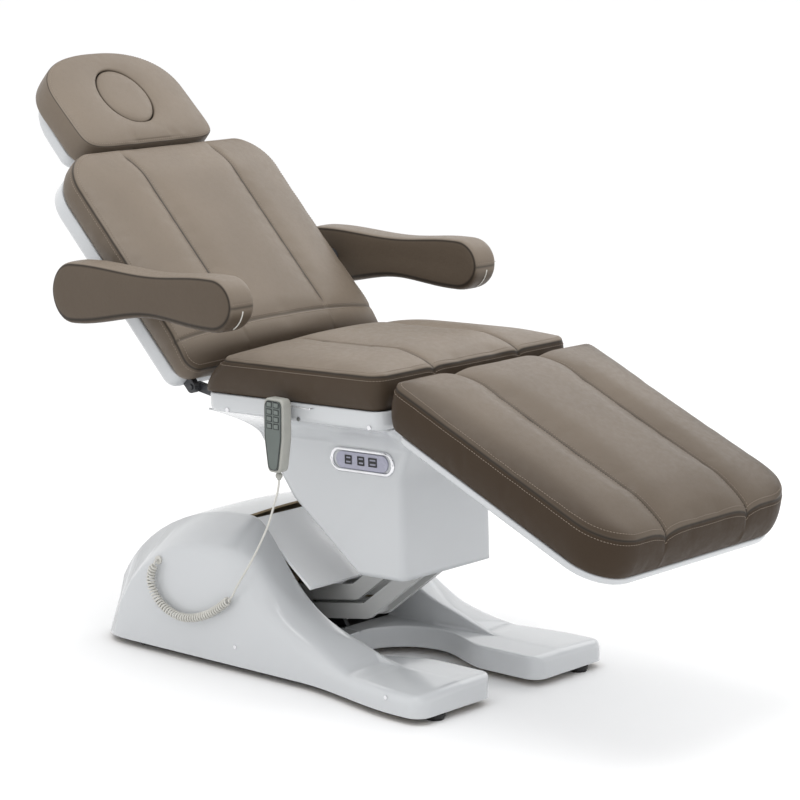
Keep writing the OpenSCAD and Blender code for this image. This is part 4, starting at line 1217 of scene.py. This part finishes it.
def skin(name, blocks, ends, material, thickness):
    """Half skins from rows of points and flat ends, mirrored to the other side, welded and given a wall."""
    points, faces = [], []
    for loop in ends:
        for sign in (1, -1):
            faces.append(tuple(range(len(points), len(points) + len(loop))))
            points += placed([(x, sign * y, z) for x, y, z in loop], "base").tolist()
    for rows in blocks:
        for sign in (1, -1):
            start = len(points)
            for row in rows:
                points += placed([(x, sign * y, z) for x, y, z in row], "base").tolist()
            for f in grid_faces(len(rows), len(rows[0]), start):
                faces.append(f if sign > 0 else f[::-1])
    piece = make_mesh(name, points, faces, material)
    b = bmesh.new()
    b.from_mesh(piece.data)
    bmesh.ops.remove_doubles(b, verts=b.verts, dist=0.00012)
    bmesh.ops.dissolve_degenerate(b, edges=b.edges, dist=0.00005)
    bmesh.ops.recalc_face_normals(b, faces=b.faces)
    up = [f.normal.z for f in b.faces if abs(f.normal.z) > 0.8 and f.calc_center_median().z > 0.05]
    if sum(up) < 0:
        bmesh.ops.reverse_faces(b, faces=b.faces)
    b.to_mesh(piece.data)
    b.free()
    piece.data.polygons.foreach_set("use_smooth", [True] * len(piece.data.polygons))
    m = add_wall(piece, thickness)
    m.use_even_offset = False
    m.use_rim = True
    piece.data.materials.append(RAW_SHELL)
    m.material_offset = m.material_offset_rim = 1
    return settle(piece)


def make_base_cover():
    xs = REAR_STATIONS + FRONT_STATIONS + NOSE_STATIONS
    outer = section_rows(xs, outer_section)
    roof = section_rows(REAR_STATIONS + [SLOT_X], roof_section)
    rear_x = REAR_STATIONS[0]
    cap = [[(rear_x - 0.001, q[1] * 0.6, FOOT_H + (q[2] - FOOT_H) * 0.5) for q in roof[0]], roof[0]]
    lip = section_rows([x for x in FRONT_STATIONS if x <= -0.0999], lip_section)
    inner = section_rows([x for x in FRONT_STATIONS if x >= -0.1001] + NOSE_STATIONS, inner_section)
    cover = skin("base_shell", [outer, roof, cap, lip, inner], [inner[-1] + outer[-1][1:]], SHELL, COVER_WALL)
    cover.data.polygons.foreach_set("use_smooth", [True] * len(cover.data.polygons))
    cover.data.set_sharp_from_angle(angle=math.radians(SHARP_ANGLE))
    finish_piece(cover, "base", "white_shell", "base_cover")


make_base_cover()


# Trays and shroud: rounded moulded shells

def plan(x0, x1, w0, w1, r0, r1):
    """Outline of a tray, a rectangle with round corners: the rear has w0 and r0, the front w1 and r1."""
    def arc(x, y, r, first):
        turns = [math.radians(first + a) for a in range(0, 91, 10)]
        return [(x + r * math.cos(t), y + r * math.sin(t)) for t in turns]

    return np.array(arc(x1 - r1, -w1 + r1, r1, 270) + arc(x1 - r1, w1 - r1, r1, 0)
                    + arc(x0 + r0, w0 - r0, r0, 90) + arc(x0 + r0, -w0 + r0, r0, 180))


def make_tray(name, loop, z0, z1, fillet, part, node, hole=None):
    """Shallow moulded tray: rolled rim, side wall, round lower edge, flat floor, and a hole if given."""
    count = 240
    loop = even_loop(loop, count)
    normal = loop_normals(loop)
    rows = [(0.014, z1 - 0.0008), (0.003, z1 - 0.0004), (0.0008, z1 - 0.0012), (0.0, z1 - 0.003)]
    rows.append((0.0, (z0 + z1 + fillet) / 2))
    for a in range(0, 91, 15):
        t = math.radians(a)
        rows.append((fillet * (1 - math.cos(t)), z0 + fillet * (1 - math.sin(t))))
    points = [(q[0] - d[0] * i, q[1] - d[1] * i, z) for i, z in rows for q, d in zip(loop, normal)]
    faces = grid_faces(len(rows), count, wrap=True)
    last = (len(rows) - 1) * count
    if hole is None:
        centre = loop.mean(0)
        floor = loop - normal * fillet - centre
        rings = [[(x, y, z0) for x, y in centre + floor * share] for share in (0.93, 0.6, 0.2)]
    else:
        edge = even_loop(hole, count)
        shift = int(np.argmax((edge - edge.mean(0)) @ (loop[0] - loop.mean(0))))
        edge = np.roll(edge, -shift, 0)
        rings = [[(x, y, z) for x, y in edge] for z in (z0, z1 - 0.002)]
    for ring in rings:
        faces += ring_faces(last, len(points), count)
        last = len(points)
        points += ring
    if hole is None:
        faces.append(tuple(last + k for k in range(count)))
    piece = make_mesh(name, placed(points, part), faces, SHELL)
    mend_normals(piece, weld=0)
    add_wall(piece, TRAY_WALL)
    finish_piece(settle(piece), part, "white_shell", node)


SEAT_PLAN = plan(-0.213, 0.258, 0.285, 0.285, 0.036, 0.030)
BACK_PLAN = plan(-0.548, -0.018, 0.285, 0.285, 0.084, 0.026)
LEG_PLAN = plan(0.016, 0.543, 0.292, 0.292, 0.022, 0.090)
HEAD_PLAN = plan(-0.238, -0.014, 0.180, 0.183, 0.146, 0.026)
TURNS = np.linspace(0, 2 * math.pi, 97)[:-1]
FACE_HOLE = np.array([(FACE_X + 0.082 * math.cos(a), 0.071 * math.sin(a)) for a in TURNS])
make_tray("seat_pan", SEAT_PLAN, 0.548, SEAT_Z, 0.012, "seat", "seat_tray")
make_tray("back_pan", BACK_PLAN, -0.028, BACK_Z, 0.014, "back", "back_tray")
make_tray("leg_pan", LEG_PLAN, -0.014, LEG_Z, 0.010, "leg", "leg_tray")
make_tray("head_pan", HEAD_PLAN, -0.018, HEAD_Z, 0.011, "head", "head_tray", FACE_HOLE)


def make_shroud():
    """Skirt under the seat: side panels that flare out to the tray, and a front panel with round corners."""
    corner = 0.016
    zs = list(np.linspace(0.221, 0.440, 24)) + list(np.linspace(0.4425, 0.5475, 40))
    rear = [(0.221, 0.060), (0.359, -0.113), (0.477, -0.198), (0.548, -0.213)]
    rows = []
    for z in zs:
        half = 0.137 + 0.135 * max(0.0, (z - 0.478) / 0.070) ** 1.5
        front = 0.174 + 0.080 * max(0.0, (z - 0.425) / 0.123) ** 1.7
        back = float(np.interp(z, [q[0] for q in rear], [q[1] for q in rear]))
        side = [(back + (front - corner - back) * k / 30, -half) for k in range(31)]
        turns = [math.radians(a) for a in range(10, 91, 10)]
        arc = [(front - corner + corner * math.sin(t), -half + corner - corner * math.cos(t)) for t in turns]
        across = [(front, (-half + corner) * (1 - k / 12)) for k in range(1, 13)]
        near = side + arc + across
        rows.append([(x, y, z) for x, y in near] + [(x, -y, z) for x, y in near[-2::-1]])
    points = [q for row in rows for q in row]
    piece = make_mesh("seat_skirt", placed(points, "seat"), grid_faces(len(rows), len(rows[0])), SHELL)
    add_wall(piece, SHROUD_WALL)
    finish_piece(settle(piece), "seat", "white_shell", "seat_shroud")


make_shroud()


# Chrome bezel of the side panel: a ring with a round face

PANEL_X, PANEL_Z, PANEL_HALF_L = 0.075, 0.451, 0.059
PORT_Z, PORT_FOOT, PORT_FACE, PORT_EDGE = 0.452, 0.1399, 0.1412, -0.0004


def make_bezel():
    around, across = 96, 15
    points = []
    for k in range(around):
        a = 2 * math.pi * k / around
        c, t = math.cos(a), math.sin(a)
        x = PANEL_X + math.copysign(PANEL_HALF_L, c)
        for i in range(across):
            b = math.pi * i / (across - 1)
            r = 0.021 + 0.004 * math.cos(b)
            points.append((x + r * c, -0.1371 - 0.0046 * math.sin(b) ** 0.8, PANEL_Z + r * t))
    last = (around - 1) * across
    ring = grid_faces(around, across) + [(last + j, last + j + 1, j + 1, j) for j in range(across - 1)]
    for k in range(around):
        here, after = k * across, (k + 1) % around * across
        ring.append((here, here + across - 1, after + across - 1, after))
    bezel = make_mesh("panel_ring", placed(points, "seat"), ring, CHROME)
    mend_normals(bezel)
    finish_piece(bezel, "seat", "bezel_chrome", "panel_bezel")


def make_ports():
    """Three sockets on the insert, each a dark frame with a tongue inside."""
    points, faces = [], []

    def slab(x, z, w, h, low, high, edge):
        start = len(points)
        for y, cut in ((low, 0.0), (high + edge, 0.0), (high, edge)):
            points.extend([(x - w + cut, -y, z - h + cut), (x + w - cut, -y, z - h + cut),
                           (x + w - cut, -y, z + h - cut), (x - w + cut, -y, z + h - cut)])
        faces.extend(ring_faces(start, start + 4, 4) + ring_faces(start + 4, start + 8, 4))
        faces.append((start + 3, start + 2, start + 1, start))
        faces.append((start + 8, start + 9, start + 10, start + 11))

    for x, wide in ((0.040, 0.0085), (0.073, 0.0085), (0.104, 0.0105)):
        slab(x, 0.4595, wide, 0.0012, PORT_FOOT, PORT_FACE, PORT_EDGE)
        slab(x, 0.4445, wide, 0.0012, PORT_FOOT, PORT_FACE, PORT_EDGE)
        slab(x - wide + 0.001, PORT_Z, 0.0010, 0.0066, PORT_FOOT, PORT_FACE, PORT_EDGE)
        slab(x + wide - 0.001, PORT_Z, 0.0010, 0.0066, PORT_FOOT, PORT_FACE, PORT_EDGE)
        slab(x, PORT_Z, wide - 0.0035, 0.0022, PORT_FOOT, 0.1409, PORT_EDGE)
    ports = make_mesh("panel_ports", placed(points, "seat"), faces, MOTOR, soft=False)
    finish_piece(ports, "seat", "insert_grey")


make_bezel()
make_ports()


# Handset: a round-edged case, a dark line round its keypad and round each key

HANDSET_X, HANDSET_LOW, HANDSET_TOP = 0.012, 0.452, 0.598
KEYPAD_Y, KEY_HALF_W, KEY_HALF_H, LINE_R = -0.3272, 0.0066, 0.0051, 0.00065
KEY_PLACES = [(HANDSET_X + x, z) for z in (0.586, 0.572, 0.558, 0.544) for x in (-0.009, 0.009)]


# Rows across the case, from its face to its back: distance from the bed's middle, inset of the outline
CASE_ROWS = [(0.3228, 0.0056), (0.3246, 0.0054), (0.3249, 0.0050), (0.3249, 0.0034), (0.3244, 0.0018),
             (0.3234, 0.0006), (0.3218, 0.0001), (0.3120, 0.0), (0.3040, 0.0003), (0.3015, 0.0010),
             (0.3000, 0.0024), (0.2994, 0.0042)]


def handset_outline(inset):
    top, low, w = HANDSET_TOP - inset, HANDSET_LOW + inset, 0.026 - inset
    half = [(w - 0.006, top), (w, top - 0.008), (w, low + 0.066)]
    half += [(0.017 - inset, low + 0.005), (0.012 - inset, low)]
    loop = [(HANDSET_X + x, z) for x, z in half] + [(HANDSET_X - x, z) for x, z in reversed(half)]
    fine = even_loop(np.array(loop), 160)
    for _ in range(6):
        fine = 0.5 * fine + 0.25 * (np.roll(fine, 1, 0) + np.roll(fine, -1, 0))
    return fine


def make_handset():
    loop = handset_outline(0.0)
    normal = loop_normals(loop)
    if ((loop - loop.mean(0)) * normal).sum() < 0:
        normal = -normal
    points = [(q[0] - d[0] * i, -y, q[1] - d[1] * i) for y, i in CASE_ROWS for q, d in zip(loop, normal)]
    n = len(loop)
    faces = grid_faces(len(CASE_ROWS), n, wrap=True)
    centre = np.array((HANDSET_X, 0.535))
    cap = loop - normal * 0.005 - centre
    for row in (0, len(CASE_ROWS) - 1):
        last = row * n
        for share in (0.7, 0.35):
            faces += ring_faces(last, len(points), n)
            last = len(points)
            points += [(x, -CASE_ROWS[row][0], z) for x, z in centre + cap * share]
        faces.append(tuple(last + k for k in range(n)))
    case = make_mesh("handset_case", placed(points, "base"), faces, HANDSET)
    mend_normals(case)
    finish_piece(case, "seat", "handset_grey", "handset_shell")
    paths = [[(x, KEYPAD_Y, z) for x, z in handset_outline(0.0056)[::2]]]
    w, h = KEY_HALF_W, KEY_HALF_H
    for x, z in KEY_PLACES:
        paths.append([(x + a, KEYPAD_Y, z + b) for a, b in ((-w, -h), (w, -h), (w, h), (-w, h))])
    rings = curve_of("keypad_lines", [placed(q, "base") for q in paths], [True] * len(paths))
    rings.data.bevel_depth = LINE_R
    rings.data.bevel_resolution = 1
    rings.data.materials.append(MOTOR)
    finish_piece(settle(rings), "seat", "keypad_green")


make_handset()


# Room: wide pale floor, even white surroundings and soft lights

def make_room():
    pale = Finish("pale_floor", (0.95, 0.95, 0.952), 0.9)
    cloudy = pale.ramp(pale.noise(0.8, 2.0), 0.3, 0.7)
    pale.paint(pale.tint(cloudy, (0.947, 0.947, 0.949), (0.953, 0.953, 0.955)))
    square = [(-60, -60, 0), (60, -60, 0), (60, 60, 0), (-60, 60, 0)]
    make_mesh("studio_floor", square, [(0, 1, 2, 3)], pale.material)
    world = bpy.data.worlds.new("studio") if bpy.context.scene.world is None else bpy.context.scene.world
    bpy.context.scene.world = world
    world.use_nodes = True
    sky = next(n for n in world.node_tree.nodes if n.type == "BACKGROUND")
    sky.inputs["Color"].default_value = (1.0, 1.0, 1.0, 1.0)
    sky.inputs["Strength"].default_value = 1.06
    lights = [("far_softbox", (-0.4, 3.2, 3.0), (-0.2, 0.0, 0.7), 3.0, 26.0),
              ("top", (0.2, -0.5, 3.0), (-0.3, 0.0, 0.7), 1.8, 26.0)]
    for name, place, aim, size, power in lights:
        data = bpy.data.lights.new(name, "AREA")
        data.shape = "DISK"
        data.size = size
        data.energy = power
        lamp = bpy.data.objects.new(name, data)
        bpy.context.collection.objects.link(lamp)
        lamp.location = place
        lamp.rotation_euler = (Vector(aim) - Vector(place)).to_track_quat("-Z", "Y").to_euler()
    bpy.context.scene.view_settings.view_transform = "Standard"


make_room()
